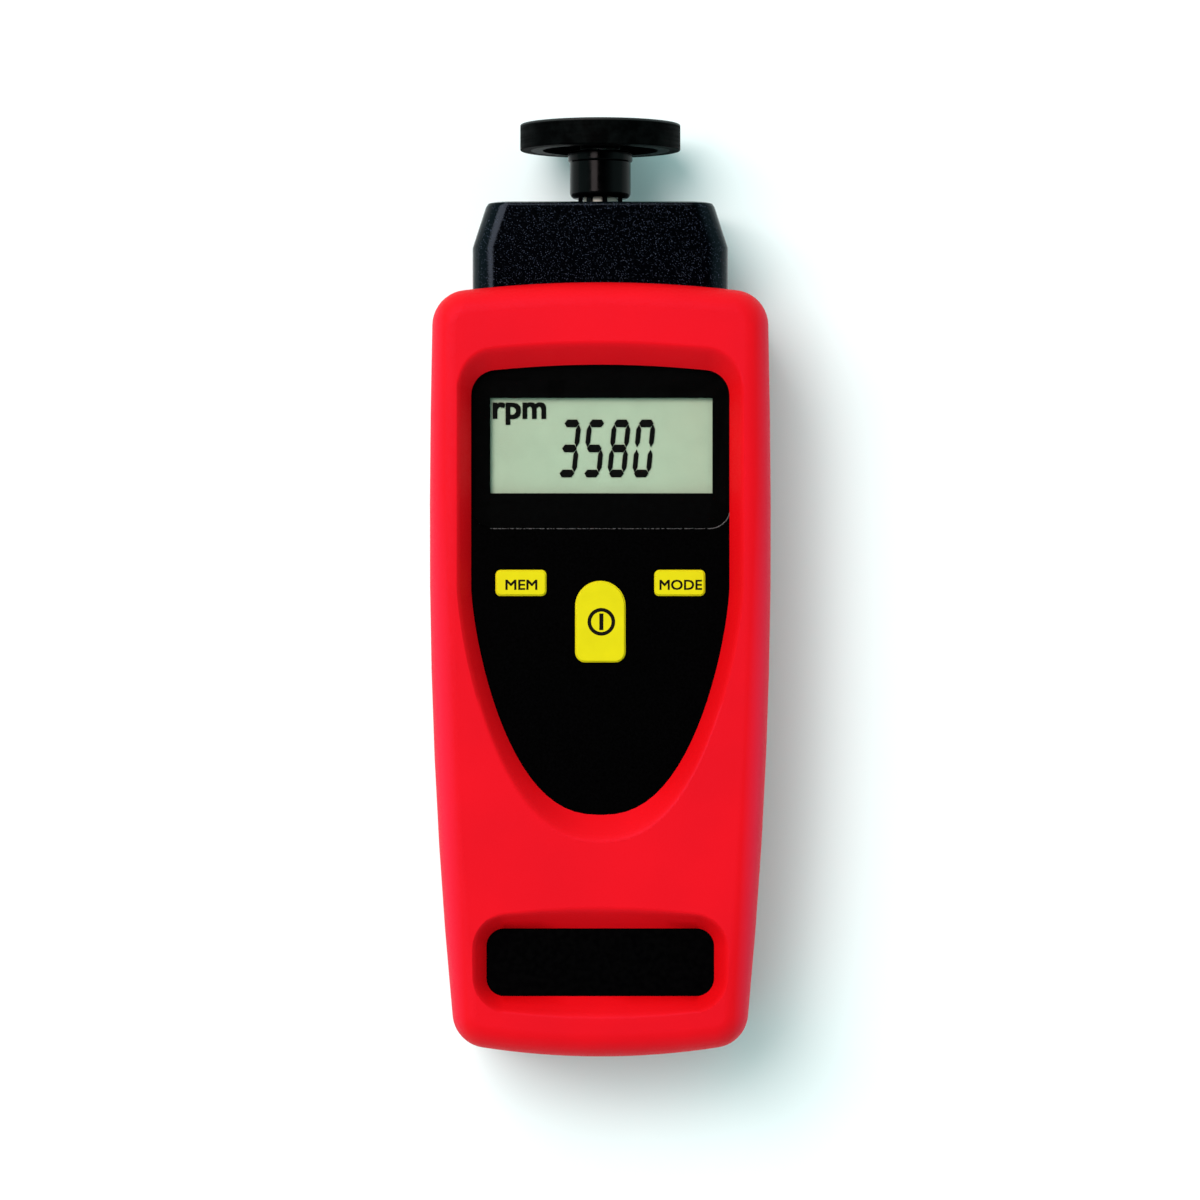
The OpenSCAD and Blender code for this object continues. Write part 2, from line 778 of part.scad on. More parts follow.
// Rear shell: battery well, door opening, screw sinks and the seat of the optics block
module rear_case() {
    $fn = shell_fn;
    well_w = 2 * (well_half + well_wall);
    color(black_plastic)
        difference() {
            union() {
                translate([0, 0, mid_z])
                    mirror([0, 0, 1])
                        half_shell(case_wall);
                translate([-well_w / 2, well_foot_y - well_wall, inner_back_z - bite])
                    cube([well_w, well_len + 2 * well_wall, well_roof_z + well_wall - inner_back_z + bite]);
                translate([-door_half - well_wall, door_foot_y - well_wall, inner_back_z - bite])
                    cube([2 * (door_half + well_wall), well_top_y - door_foot_y + 2 * well_wall, door_seat + well_wall + bite]);
                for (at = screw_places)
                    translate([at[0], at[1], inner_back_z - bite])
                        cylinder(d = boss_d, h = mid_z - inner_back_z + bite);
                for (side = [-1, 1])
                    translate([side * optics_w / 4 - optics_rib_t / 2, optics_y + optics_rib_t, inner_back_z - bite])
                        cube([optics_rib_t, optics_end_y - optics_y - 2 * optics_rib_t, mid_z - optics_h / 2 - seat_gap - inner_back_z + bite]);
            }
            door_opening();
            translate([-well_half, well_foot_y, back_z])
                cube([2 * well_half, well_len, well_roof_z - back_z]);
            for (at = screw_places)
                translate([at[0], at[1], back_z - cut]) {
                    cylinder(d = screw_d + 4 * seat_gap, h = case_t);
                    cylinder(d = screw_head_d + 4 * seat_gap, h = screw_sink + cut);
                }
            port_hole();
        }
}

// Space for the door plate and for its latch and hooks
module door_opening() {
    translate([0, (door_y + door_foot_y) / 2, back_z - cut])
        linear_extrude(case_wall + door_seat + cut)
            rounded_rect(
                2 * (door_half + door_gap),
                door_y - door_foot_y + 2 * door_gap,
                door_corner_r
            );
    translate([-latch_w / 2 - door_gap, door_foot_y - seat_gap, inner_back_z])
        cube([latch_w + 2 * door_gap, door_overlap - 2 * seat_gap, latch_h + door_gap]);
}

// Four screws that close the case from the back
module case_screws() {
    head_z = back_z + screw_sink - screw_head_t;
    color("silver")
        for (at = screw_places)
            translate([at[0], at[1], head_z])
                difference() {
                    union() {
                        cylinder(d = screw_head_d, h = screw_head_t - seat_gap);
                        cylinder(d = screw_d, h = screw_len);
                    }
                    for (turn = [0, 90])
                        rotate(turn)
                            translate([-screw_head_d / 4, -screw_slot_w / 2, -cut])
                                cube([screw_head_d / 2, screw_slot_w, screw_head_t / 2 + cut]);
                }
}

// Bare black plate behind the lower window
module label_plate() {
    color([0.02, 0.02, 0.02])
        translate([0, label_y, front_z - label_t])
            linear_extrude(label_t)
                rounded_rect(label_w + 2 * case_wall - 2 * seat_gap, label_h + 2 * case_wall - 2 * seat_gap, label_corner_r - seat_gap);
}

// Clear lens over the display
module display_lens() {
    color([0.7, 0.75, 0.75, 0.5])
        translate([0, lens_y, front_z - lens_t])
            linear_extrude(lens_t)
                rounded_rect(lens_w, lens_h, lens_corner_r - lens_gap);
}

// Black film behind the lens, with the window that frames the display
module display_mask() {
    color([0.01, 0.01, 0.01])
        translate([0, 0, lens_floor_z])
            linear_extrude(mask_t)
                difference() {
                    translate([0, lens_y])
                        rounded_rect(lens_w, lens_h, lens_corner_r - lens_gap);
                    translate([display_shift, display_y])
                        square([view_w, view_h], center = true);
                }
}

// Liquid crystal cell: two glass plates, the front one shorter so that the contacts lie bare
module lcd_module() {
    color([0.68, 0.76, 0.66])
        translate([display_shift, display_y, glass_top_z - glass_t]) {
            linear_extrude(glass_t / 2)
                square([glass_w, glass_h], center = true);
            linear_extrude(glass_t)
                square([glass_w, glass_h - glass_border], center = true);
        }
}

// Frame that holds the display glass over the board
module lcd_frame() {
    outer_w = glass_w + 2 * (frame_wall + seat_gap);
    outer_h = glass_h + 2 * (frame_wall + seat_gap);
    color([0.85, 0.85, 0.82])
        translate([display_shift, display_y, pcb_top_z])
            difference() {
                linear_extrude(glass_top_z - pcb_top_z)
                    rounded_rect(outer_w, outer_h, frame_wall);
                translate([0, 0, glass_top_z - glass_t - pcb_top_z])
                    linear_extrude(glass_t + cut)
                        square([glass_w + 2 * seat_gap, glass_h + 2 * seat_gap], center = true);
                translate([0, 0, -cut])
                    linear_extrude(glass_top_z)
                        square([glass_w - 2 * frame_ledge, glass_h - 2 * seat_gap], center = true);
            }
}

// Two rubber contact strips between the glass and the board
module lcd_connectors() {
    color([0.9, 0.55, 0.6])
        for (side = [-1, 1])
            translate([display_shift, display_y + side * (glass_h / 2 - strip_inset - strip_w / 2), pcb_top_z])
                linear_extrude(glass_top_z - glass_t - pcb_top_z)
                    square([glass_w - 2 * (frame_ledge + strip_inset), strip_w], center = true);
}

// Key with a crowned top, a flange that keeps it in and a stem that meets its switch; children draw the outline
module key_body(switch_shift) {
    flange_z = inner_front_z - seat_gap - key_flange_t;
    color(key_yellow) {
        translate([0, 0, flange_z])
            linear_extrude(front_z + key_stand - key_crown - flange_z)
                children(0);
        translate([0, 0, front_z + key_stand - key_crown - sliver])
            linear_extrude(key_crown + sliver)
                children(1);
        translate([0, 0, flange_z])
            linear_extrude(key_flange_t)
                children(2);
        translate([0, switch_shift, stem_z])
            cylinder(d = key_stem_d, h = flange_z + key_flange_t / 2 - stem_z);
    }
}
module small_key(side) {
    translate([side * small_key_x, small_key_y])
        key_body(0) {
            small_key_shape(0);
            small_key_shape(-key_crown / 2);
            small_key_shape(key_flange_lip);
        }
}
module mem_button() {
    small_key(-1);
}
module mode_button() {
    small_key(1);
}
module power_button() {
    translate([0, power_key_y])
        key_body(power_key_len / 2) {
            power_key_shape(0);
            power_key_shape(-key_crown / 2);
            power_key_shape(key_flange_lip);
        }
}

// Three push switches on the board, one under each key
module tact_switches() {
    color([0.2, 0.2, 0.22])
        for (at = [[-small_key_x, small_key_y], [small_key_x, small_key_y], [0, power_switch_y]])
            translate([at[0], at[1], pcb_top_z]) {
                linear_extrude(switch_h)
                    rounded_rect(switch_w, switch_w, plunger_h / 2);
                cylinder(d = plunger_d, h = switch_h + plunger_h);
            }
}

// Circuit board with a narrower neck towards the optical head
module pcb() {
    color([0.1, 0.4, 0.2])
        translate([0, 0, pcb_z])
            difference() {
                linear_extrude(pcb_t) {
                    translate([0, (pcb_foot_y + pcb_shoulder_y) / 2])
                        rounded_rect(pcb_w, pcb_shoulder_y - pcb_foot_y, pcb_corner_r);
                    translate([-pcb_neck_w / 2, pcb_shoulder_y - pcb_corner_r])
                        square([pcb_neck_w, pcb_end_y - pcb_shoulder_y + pcb_corner_r]);
                }
                for (at = pcb_screw_places)
                    translate([at[0], at[1], -cut])
                        cylinder(d = pcb_screw_d + 2 * seat_gap, h = pcb_t + 2 * cut);
            }
}

// Four small screws that hold the board to the front shell
module pcb_screws() {
    color("silver")
        for (at = pcb_screw_places)
            translate([at[0], at[1], pcb_z - pcb_screw_head_t]) {
                cylinder(d = pcb_screw_head_d, h = pcb_screw_head_t);
                cylinder(d = pcb_screw_d, h = pcb_screw_head_t + pcb_screw_len);
            }
}

// Flat chip on the back of the board, with its rows of legs
module microcontroller() {
    color([0.08, 0.08, 0.09])
        translate([0, display_y, pcb_z - chip_t - chip_stand]) {
            linear_extrude(chip_t)
                square(chip_w, center = true);
            for (turn = [0:90:270], i = [0:legs])
                rotate(turn)
                    translate([chip_w / 2 - leg_t, (i - legs / 2) * leg_pitch - leg_w / 2, chip_t + chip_stand - leg_t])
                        cube([leg_reach + leg_t, leg_w, leg_t]);
        }
}

// Quartz crystal in its can, lying beside the chip
module crystal() {
    color("silver")
        translate([display_shift + can_len + can_w, display_y, pcb_z - can_h])
            linear_extrude(can_h)
                rounded_rect(can_w, can_len, can_w / 2 - sliver);
}

// Door of the battery well: hooks at the hinged end, a latch at the foot and grip ribs on its face
module battery_door() {
    plate_len = door_y - door_foot_y;
    color(black_plastic) {
        difference() {
            translate([0, (door_y + door_foot_y) / 2, back_z])
                linear_extrude(case_wall)
                    rounded_rect(2 * door_half, plate_len, door_corner_r - door_gap);
            for (i = [0:3])
                translate([-door_grip_w / 2, door_foot_y + door_overlap + well_wall + i * door_grip_pitch, back_z - cut])
                    cube([door_grip_w, door_grip_pitch / 2, door_grip_t + cut]);
        }
        for (side = [-1, 1])
            translate([side * hook_x - hook_w / 2, door_y - door_end_t, inner_back_z - sliver])
                difference() {
                    cube([hook_w, door_end_t + hook_len, door_gap + hook_t]);
                    translate([-cut, door_end_t, -cut])
                        cube([hook_w + 2 * cut, hook_len + cut, door_gap + cut]);
                }
        translate([-latch_w / 2, door_foot_y + seat_gap + latch_t / 2, inner_back_z - sliver])
            cube([latch_w, latch_t, latch_h]);
        translate([-latch_w / 2, door_foot_y + seat_gap, inner_back_z + door_gap])
            cube([latch_w, latch_t, latch_nose_t]);
    }
}

// One cell lying along Y with its stud at +Y or -Y
module cell(side) {
    y = side < 0 ? well_top_y - plate_t - seat_gap : well_foot_y + plate_t + seat_gap;
    color([0.35, 0.37, 0.4])
        translate([side * cell_x, y, cell_z])
            rotate([side < 0 ? 90 : -90, 0, 0]) {
                cylinder(d = cell_nub_d, h = cell_nub_len + sliver);
                translate([0, 0, cell_nub_len])
                    rotate_extrude() {
                        square([cell_d / 2 - cell_rim_r, cell_len - cell_nub_len]);
                        translate([0, cell_rim_r])
                            square([cell_d / 2, cell_len - cell_nub_len - 2 * cell_rim_r]);
                        for (z = [cell_rim_r, cell_len - cell_nub_len - cell_rim_r])
                            translate([cell_d / 2 - cell_rim_r, z])
                                circle(cell_rim_r);
                    }
            }
}
module battery_left() {
    cell(-1);
}
module battery_right() {
    cell(1);
}

// Contact plates: one across the foot end, one for each cell at the hinged end
module battery_contacts() {
    side = cell_d - 2 * cell_gap;
    low_z = cell_z - side / 2;
    color("silver") {
        translate([-well_half + cell_gap, well_foot_y, low_z])
            cube([2 * (well_half - cell_gap), plate_t, side]);
        for (x = [-cell_x, cell_x])
            translate([x - side / 2, well_top_y - plate_t, low_z])
                cube([side, plate_t, side]);
    }
}

// Conical coil springs against the flat ends of the cells, closed by a turn at the plate
module coil_spring() {
    steps = spring_turns * spring_steps_per_turn;
    path = [
        for (i = [0:steps]) let (
            t = i / steps,
            r = spring_r + (spring_tip_r - spring_r) * t,
            a = 360 * spring_turns * t,
            rise = (spring_len - spring_wire_d) * t + spring_wire_d / 2
        ) [r * cos(a), r * sin(a), rise, a]
    ];
    polyhedron(
        points = [
            for (p = path, k = [0:spring_sides - 1]) let (b = 360 * k / spring_sides, w = spring_wire_d / 2)
                [p[0] + w * cos(b) * cos(p[3]), p[1] + w * cos(b) * sin(p[3]), p[2] + w * sin(b)]
        ],
        faces = concat(
            [[for (k = [spring_sides - 1:-1:0]) k]],
            [[for (k = [0:spring_sides - 1]) steps * spring_sides + k]],
            [for (i = [0:steps - 1], k = [0:spring_sides - 1]) let (n = (k + 1) % spring_sides)
                [i * spring_sides + n, (i + 1) * spring_sides + n, (i + 1) * spring_sides + k, i * spring_sides + k]]
        )
    );
}
module battery_springs() {
    color("silver")
        for (side = [-1, 1])
            translate([side * cell_x, side < 0 ? well_foot_y + plate_t : well_top_y - plate_t, cell_z])
                rotate([side < 0 ? -90 : 90, 0, 0])
                    coil_spring();
}

// Block behind the port, with the round port, the window seat and the two bores for laser and receiver
module optics_block() {
    length = optics_end_y - optics_y;
    color([0.06, 0.06, 0.07])
        difference() {
            translate([-optics_w / 2, optics_y, mid_z - optics_h / 2])
                cube([optics_w, length, optics_h]);
            on_axis(window_y - optics_window_t)
                cylinder(d = port_d, h = port_depth + optics_window_t + cut);
            on_axis(optics_y - cut, -eye_x)
                cylinder(d = laser_d + 2 * fit_gap, h = optics_body_len + 2 * cut);
            on_axis(optics_y - cut, eye_x)
                cylinder(d = photodiode_d + 2 * fit_gap, h = optics_body_len + 2 * cut);
        }
}

// Clear window at the foot of the port
module port_window() {
    color([0.5, 0.05, 0.08, 0.6])
        on_axis(window_y - optics_window_t)
            cylinder(d = port_d - 2 * fit_gap, h = optics_window_t);
}

// Round electronic can with a sunk eye and three leads at its back; d is its diameter
module optical_can(d, x) {
    body_len = optics_body_len - seat_gap;
    on_axis(optics_y, x) {
        difference() {
            cylinder(d = d, h = body_len);
            translate([0, 0, body_len - eye_d / 2])
                cylinder(d = eye_d, h = eye_d);
        }
        for (i = [0:2])
            rotate(120 * i)
                translate([lead_x, 0, -lead_len])
                    cylinder(d = lead_d, h = lead_len + eye_d / 2);
    }
}
module laser_diode() {
    color([0.72, 0.58, 0.3])
        optical_can(laser_d, -eye_x);
}
module photodiode() {
    color([0.2, 0.2, 0.25])
        optical_can(photodiode_d, eye_x);
}

// Barrel of the adapter, with the spring claws that snap into the port
module adapter_barrel() {
    claw_angle_list = [for (half = [0, 180], a = claw_angles) a + half];
    color([0.03, 0.03, 0.035]) {
        on_axis(barrel_y)
            rotate_extrude()
                difference() {
                    union() {
                        translate([0, barrel_round])
                            square([barrel_d / 2, barrel_len - barrel_round]);
                        square([barrel_d / 2 - barrel_round, barrel_len]);
                        translate([barrel_d / 2 - barrel_round, barrel_round])
                            circle(barrel_round);
                    }
                    translate([-cut, -cut])
                        square([cut + claw_r - claw_t, barrel_len + 2 * cut]);
                    translate([-cut, bush_shelf])
                        square([cut + bush_d / 2 + fit_gap, barrel_len]);
                }
        on_axis(barrel_y - claw_len) {
            tube(2 * claw_r, 2 * (claw_r - claw_t), claw_ring_len);
            intersection() {
                tube(2 * claw_r, 2 * (claw_r - claw_t), claw_len + bush_shelf / 2);
                for (a = claw_angle_list)
                    rotate(90 + a)
                        translate([0, -claw_w / 2, 0])
                            cube([barrel_d, claw_w, claw_len + bush_shelf / 2]);
            }
        }
    }
}

// Turned cap that closes the barrel over the outer bush
module adapter_cap() {
    bore = spindle_d / 2 + cap_bore_gap;
    color([0.03, 0.03, 0.035])
        on_axis(cap_y)
            rotate_extrude() {
                translate([bore, 0])
                    square([cap_d / 2 - cap_round - bore, cap_t]);
                translate([bore, cap_round])
                    square([cap_d / 2 - bore, cap_t - 2 * cap_round]);
                for (z = [cap_round, cap_t - cap_round])
                    translate([cap_d / 2 - cap_round, z])
                        circle(cap_round);
            }
}

// Bronze bushes, pressed into the barrel, in which the spindle runs
module bush_near() {
    color([0.75, 0.55, 0.3])
        on_axis(barrel_y + bush_shelf)
            tube(bush_d, bush_bore_d, bush_len);
}
module bush_far() {
    color([0.75, 0.55, 0.3])
        on_axis(cap_y - bush_len)
            tube(bush_d, bush_bore_d, bush_len);
}

// Steel spindle through both bushes, from the rotor to the wheel
module spindle() {
    color("silver")
        on_axis(rotor_y) {
            cylinder(d = spindle_d, h = spindle_end_y - rotor_y - spindle_tip);
            translate([0, 0, spindle_end_y - rotor_y - spindle_tip - sliver])
                cylinder(d1 = spindle_d, d2 = spindle_d - spindle_tip, h = spindle_tip);
        }
}

// Pale rotor that the sensor reads, with a notch across its end
module rotor() {
    color([0.86, 0.88, 0.83])
        on_axis(rotor_y)
            difference() {
                cylinder(d = rotor_d, h = rotor_len);
                translate([0, 0, -cut])
                    cylinder(d = bush_bore_d, h = rotor_len + 2 * cut);
                translate([-notch_w / 2, -rotor_d, -cut])
                    cube([notch_w, 2 * rotor_d, notch_t + cut]);
            }
}

// Wheel body: hub, set-back web and rim ring
module wheel_rim() {
    rim_r = wheel_d / 2 - tyre_t - tyre_gap;
    hub_len = wheel_w - hub_gap - hub_recess;
    web_y = wheel_w - hub_recess - web_t;
    color([0.04, 0.04, 0.045])
        on_axis(wheel_y)
            rotate_extrude()
                difference() {
                    union() {
                        translate([rim_r - rim_t, 0])
                            square([rim_t, wheel_w]);
                        translate([0, web_y])
                            square([rim_r - rim_t / 2, web_t]);
                        translate([0, hub_gap])
                            square([hub_d / 2, hub_len]);
                    }
                    translate([-cut, -cut])
                        square([cut + bush_bore_d / 2, wheel_w + 2 * cut]);
                }
}

// Rubber tyre round the rim, with slightly rounded edges
module tyre() {
    inner_r = wheel_d / 2 - tyre_t;
    color([0.02, 0.02, 0.022])
        on_axis(wheel_y)
            rotate_extrude() {
                translate([inner_r, 0])
                    square([tyre_t - tyre_crown, wheel_w]);
                translate([inner_r, tyre_crown])
                    square([tyre_t, wheel_w - 2 * tyre_crown]);
                for (z = [tyre_crown, wheel_w - tyre_crown])
                    translate([wheel_d / 2 - tyre_crown, z])
                        circle(tyre_crown);
            }
}

holster();
front_case();
rear_case();
case_screws();
label_plate();
display_lens();
display_mask();
lcd_module();
lcd_frame();
lcd_connectors();
mem_button();
mode_button();
power_button();
tact_switches();
pcb();
pcb_screws();
microcontroller();
crystal();
battery_door();
battery_left();
battery_right();
battery_contacts();
battery_springs();
optics_block();
port_window();
laser_diode();
photodiode();
adapter_barrel();
adapter_cap();
bush_near();
bush_far();
spindle();
rotor();
wheel_rim();
tyre();
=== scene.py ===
"""Laser tachometer in a red rubber holster, lying on its back, with its adapter and measuring wheel fitted."""
import math

import bpy
from mathutils import Matrix, Vector


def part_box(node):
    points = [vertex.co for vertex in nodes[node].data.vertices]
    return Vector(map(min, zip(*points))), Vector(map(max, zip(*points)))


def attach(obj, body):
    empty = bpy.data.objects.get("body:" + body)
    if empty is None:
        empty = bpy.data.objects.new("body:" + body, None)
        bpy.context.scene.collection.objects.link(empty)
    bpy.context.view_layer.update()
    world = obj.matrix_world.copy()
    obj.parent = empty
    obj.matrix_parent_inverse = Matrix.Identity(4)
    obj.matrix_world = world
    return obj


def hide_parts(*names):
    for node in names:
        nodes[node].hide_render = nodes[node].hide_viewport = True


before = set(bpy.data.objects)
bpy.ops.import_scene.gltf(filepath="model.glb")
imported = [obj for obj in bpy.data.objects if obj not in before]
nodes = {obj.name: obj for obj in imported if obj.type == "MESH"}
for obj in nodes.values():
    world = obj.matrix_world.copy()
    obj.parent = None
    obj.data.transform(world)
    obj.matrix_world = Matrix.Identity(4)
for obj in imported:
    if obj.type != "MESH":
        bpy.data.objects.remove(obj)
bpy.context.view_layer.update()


# The table and the light: the meter lies on a matt white sheet of paper, under one large soft
# lamp at its upper left. The sky lights it from the sides and stays dark overhead, so that the
# flat black faces stay black. The camera looks straight down from about a metre.
camera_x, camera_y, camera_height = -0.00006, -0.0020, 0.978
camera_data = bpy.data.cameras.new("camera")
camera_data.lens = 145.0
camera_data.sensor_width = 36.0
camera = bpy.data.objects.new("camera", camera_data)
camera.location = (camera_x, camera_y, camera_height)
bpy.context.collection.objects.link(camera)
bpy.context.scene.camera = camera
bpy.context.scene.view_settings.view_transform = "Standard"

lamp_side, lamp_distance, lamp_power = 1.9, 3.0, 96.0
lamp_direction = Vector((-0.42, 0.40, 1.0)).normalized()
lamp = bpy.data.lights.new("key_lamp", "AREA")
lamp.shape = "SQUARE"
lamp.size = lamp_side
lamp.energy = lamp_power
lamp.color = (1.0, 0.86, 0.86)
lamp_holder = bpy.data.objects.new("key_lamp", lamp)
lamp_holder.location = lamp_direction * lamp_distance
lamp_holder.rotation_euler = lamp_direction.to_track_quat("Z", "Y").to_euler()
bpy.context.collection.objects.link(lamp_holder)

MM = 0.001


class Flow:
    """The output of a shader node. Arithmetic on it adds Math nodes."""

    def __init__(self, tree, socket=None):
        self.tree = tree
        self.socket = socket

    def node(self, kind, settings, values, output=0):
        """Adds a node of a kind: its settings first, then the values or links of its sockets."""
        made = self.tree.nodes.new(kind)
        for name, value in settings.items():
            setattr(made, name, value)
        for name, value in values.items():
            if isinstance(value, Flow):
                self.tree.links.new(value.socket, made.inputs[name])
            else:
                made.inputs[name].default_value = value
        return Flow(self.tree, made.outputs[output])

    def math(self, operation, *values):
        return self.node("ShaderNodeMath", {"operation": operation}, dict(enumerate(values)))

    def __add__(self, other):
        return self.math("ADD", self, other)

    def __sub__(self, other):
        return self.math("SUBTRACT", self, other)

    def __rsub__(self, other):
        return self.math("SUBTRACT", other, self)

    def __mul__(self, other):
        return self.math("MULTIPLY", self, other)

    def __truediv__(self, other):
        return self.math("DIVIDE", self, other)

    def __rtruediv__(self, other):
        return self.math("DIVIDE", other, self)

    def __pow__(self, other):
        return self.math("POWER", self, other)

    def __rpow__(self, other):
        return self.math("POWER", other, self)

    def __lt__(self, other):
        return self.math("LESS_THAN", self, other)

    def __gt__(self, other):
        return self.math("GREATER_THAN", self, other)

    def __abs__(self):
        return self.math("ABSOLUTE", self)

    __radd__ = __add__
    __rmul__ = __mul__

    def at_least(self, least):
        return self.math("MAXIMUM", self, least)

    def blend(self, low, high):
        """A colour between two colours, or between colours that vary, by this flow as the share."""
        return self.node("ShaderNodeMix", {"data_type": "RGBA"}, {0: self, 6: low, 7: high}, output=2)

    def between(self, low, high, start=0.0, end=1.0):
        """This flow's way from low to high, turned into start to end and kept inside them."""
        return self.node("ShaderNodeMapRange", {"clamp": True}, {0: self, 1: low, 2: high, 3: start, 4: end})

    def axis(self, letter):
        return self.node("ShaderNodeSeparateXYZ", {}, {0: self}, output=letter)

    def grain(self, size, detail=2.0, roughness=0.5):
        """Noise over a place, with features of a size in millimetres."""
        return self.node("ShaderNodeTexNoise", {}, {
            "Vector": self, "Scale": 1 / (size * MM), "Detail": detail, "Roughness": roughness})

    def bump(self, height_mm, strength=1.0):
        """A surface normal from this flow as a height in millimetres."""
        return self.node("ShaderNodeBump", {}, {
            "Height": self, "Distance": height_mm * MM, "Strength": strength})


world = bpy.data.worlds.new("studio")
bpy.context.scene.world = world
world.use_nodes = True
upwards = Flow(world.node_tree).node("ShaderNodeTexCoord", {}, {}, output="Generated").axis("Z")
dark_from, dark_at = 0.6, 0.97
sky = upwards.between(dark_from, dark_at, 1.0, 0.0).blend((0, 0, 0, 1), (0.66, 1.0, 0.98, 1))
world_background = world.node_tree.nodes["Background"]
world.node_tree.links.new(sky.socket, world_background.inputs["Color"])
world_background.inputs["Strength"].default_value = 1.0


def new_piece(primitive, **settings):
    """Runs a primitive operator with nothing else selected, and gives the new object."""
    bpy.ops.object.select_all(action="DESELECT")
    primitive(**settings)
    return bpy.context.object


floor_side = 6.0
floor = new_piece(bpy.ops.mesh.primitive_plane_add, size=floor_side)
floor.name = "floor"
paper = bpy.data.materials.new("white_sheet")
paper.use_nodes = True
paper_shader = paper.node_tree.nodes["Principled BSDF"]
paper_shader.inputs["Base Color"].default_value = (0.85, 0.93, 0.93, 1)
paper_shader.inputs["Roughness"].default_value = 0.9
paper_shader.inputs["Specular IOR Level"].default_value = 0.0
sheet = Flow(paper.node_tree, paper_shader.outputs["BSDF"])
seen, mirrored, seen_through = (
    sheet.node("ShaderNodeLightPath", {}, {}, output=f"Is {way} Ray")
    for way in ("Camera", "Glossy", "Transmission"))
paper_glow = 0.05
glow = sheet.node("ShaderNodeEmission", {}, {
    "Color": (0.6, 1.0, 1.0, 1), "Strength": seen.at_least(mirrored).at_least(seen_through) * paper_glow})
glowing_sheet = sheet.node("ShaderNodeAddShader", {}, {0: sheet, 1: glow})
paper.node_tree.links.new(glowing_sheet.socket, paper.node_tree.nodes["Material Output"].inputs["Surface"])
floor.data.materials.append(paper)


# Holster: a boot of soft red rubber, moulded in one piece and stretched over the case. Its
# front lip is cut open round the panel and round the lower plate. Its rounded rim is painted
# paler and pinker, as a painted sheen where light grazes the rubber.
def merged_copy(name, source):
    """A new piece from the mesh of a CAD node, with its doubles merged and its flat faces made whole."""
    weld_gap, flat_within = 1e-6, 0.2
    bpy.ops.object.select_all(action="DESELECT")
    piece = bpy.data.objects.new(name, nodes[source].data.copy())
    bpy.context.collection.objects.link(piece)
    piece.select_set(True)
    bpy.context.view_layer.objects.active = piece
    piece.data.materials.clear()
    bpy.ops.object.mode_set(mode="EDIT")
    bpy.ops.mesh.select_all(action="SELECT")
    bpy.ops.mesh.customdata_custom_splitnormals_clear()
    bpy.ops.mesh.remove_doubles(threshold=weld_gap)
    bpy.ops.mesh.dissolve_limited(angle_limit=math.radians(flat_within))
    bpy.ops.object.mode_set(mode="OBJECT")
    return piece


def smooth(piece, crease):
    """Smooth shading but for edges sharper than a crease in degrees, with flat faces kept flat."""
    bpy.ops.object.select_all(action="DESELECT")
    bpy.context.view_layer.objects.active = piece
    piece.select_set(True)
    bpy.ops.object.shade_smooth_by_angle(angle=math.radians(crease))
    weighted = piece.modifiers.new("flat_faces", "WEIGHTED_NORMAL")
    weighted.keep_sharp = True
    weighted.weight = 80
    bpy.ops.object.modifier_apply(modifier=weighted.name)
    return piece


def finish(name, **fixed):
    """A material whose shader holds what is the same all over. Gives it, its shader and the place on it."""
    material = bpy.data.materials.new(name)
    material.use_nodes = True
    shader = material.node_tree.nodes["Principled BSDF"]
    for socket, value in fixed.items():
        shader.inputs[socket.replace("_", " ")].default_value = value
    place = Flow(material.node_tree).node("ShaderNodeTexCoord", {}, {}, output="Object")
    return material, shader, place


def feed(shader, **flows):
    """Links flows to the sockets of a shader."""
    for socket, flow in flows.items():
        flow.tree.links.new(flow.socket, shader.inputs[socket.replace("_", " ")])


def dress(piece, material, body, slot, *stands_for):
    """Gives a piece its material, the body it rides on and the CAD nodes it stands for. Its slot is not used.
    """
    piece.data.materials.clear()
    piece.data.materials.append(material)
    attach(piece, body)
    if stands_for:
        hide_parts(*stands_for)


holster = smooth(merged_copy("rubber_holster", "holster"), crease=38)
rubber, rubber_shader, place = finish(
    "red_rubber", Specular_IOR_Level=0.2, Specular_Tint=(1.0, 0.45, 1.0, 1))
deep_red, bright_red = (0.68, 0.0005, 0.001, 1), (0.73, 0.0008, 0.0015, 1)
# A paler, pinker red for the painted sheen on the rounded rim.
painted_sheen_red = (0.75, 0.011, 0.032, 1)
foot_y, shoulder_y = -0.088, 0.02
foot_half_w, shoulder_half_w = 0.0289, 0.0334
rim_inside, rim_outside = 0.003, 0.0002
rim_from_z, rim_full_z = 0.028, 0.0335
cloudy = place.grain(22, 3).between(0.35, 0.65)
fine = place.grain(0.35, 3, 0.6)
half_width = place.axis("Y").between(foot_y, shoulder_y, foot_half_w, shoulder_half_w)
at_rim = (abs(place.axis("X")) - half_width).between(-rim_inside, -rim_outside)
# The rim mask puts the painted sheen on the rounded outer edge, near the front.
painted_sheen_rim = at_rim * place.axis("Z").between(rim_from_z, rim_full_z)
feed(
    rubber_shader,
    Base_Color=painted_sheen_rim.blend(cloudy.blend(deep_red, bright_red), painted_sheen_red),
    Roughness=fine.between(0.3, 0.7, 0.5, 0.68),
    Normal=(fine + place.grain(2.5, 2) * 0.6).bump(0.03, 0.5),
)
dress(holster, rubber, "root", "red_rubber", "holster")


# Case: two shells of black ABS with a spark-eroded grain. They meet halfway up, and four
# screws from the back close them. The head stands out of the holster at the wheel's end, and
# the moulded edge of the lens seat catches the light below the display.
def show(material, surface):
    """Links a mixed surface to the output of a material."""
    surface.tree.links.new(surface.socket, surface.tree.nodes["Material Output"].inputs["Surface"])


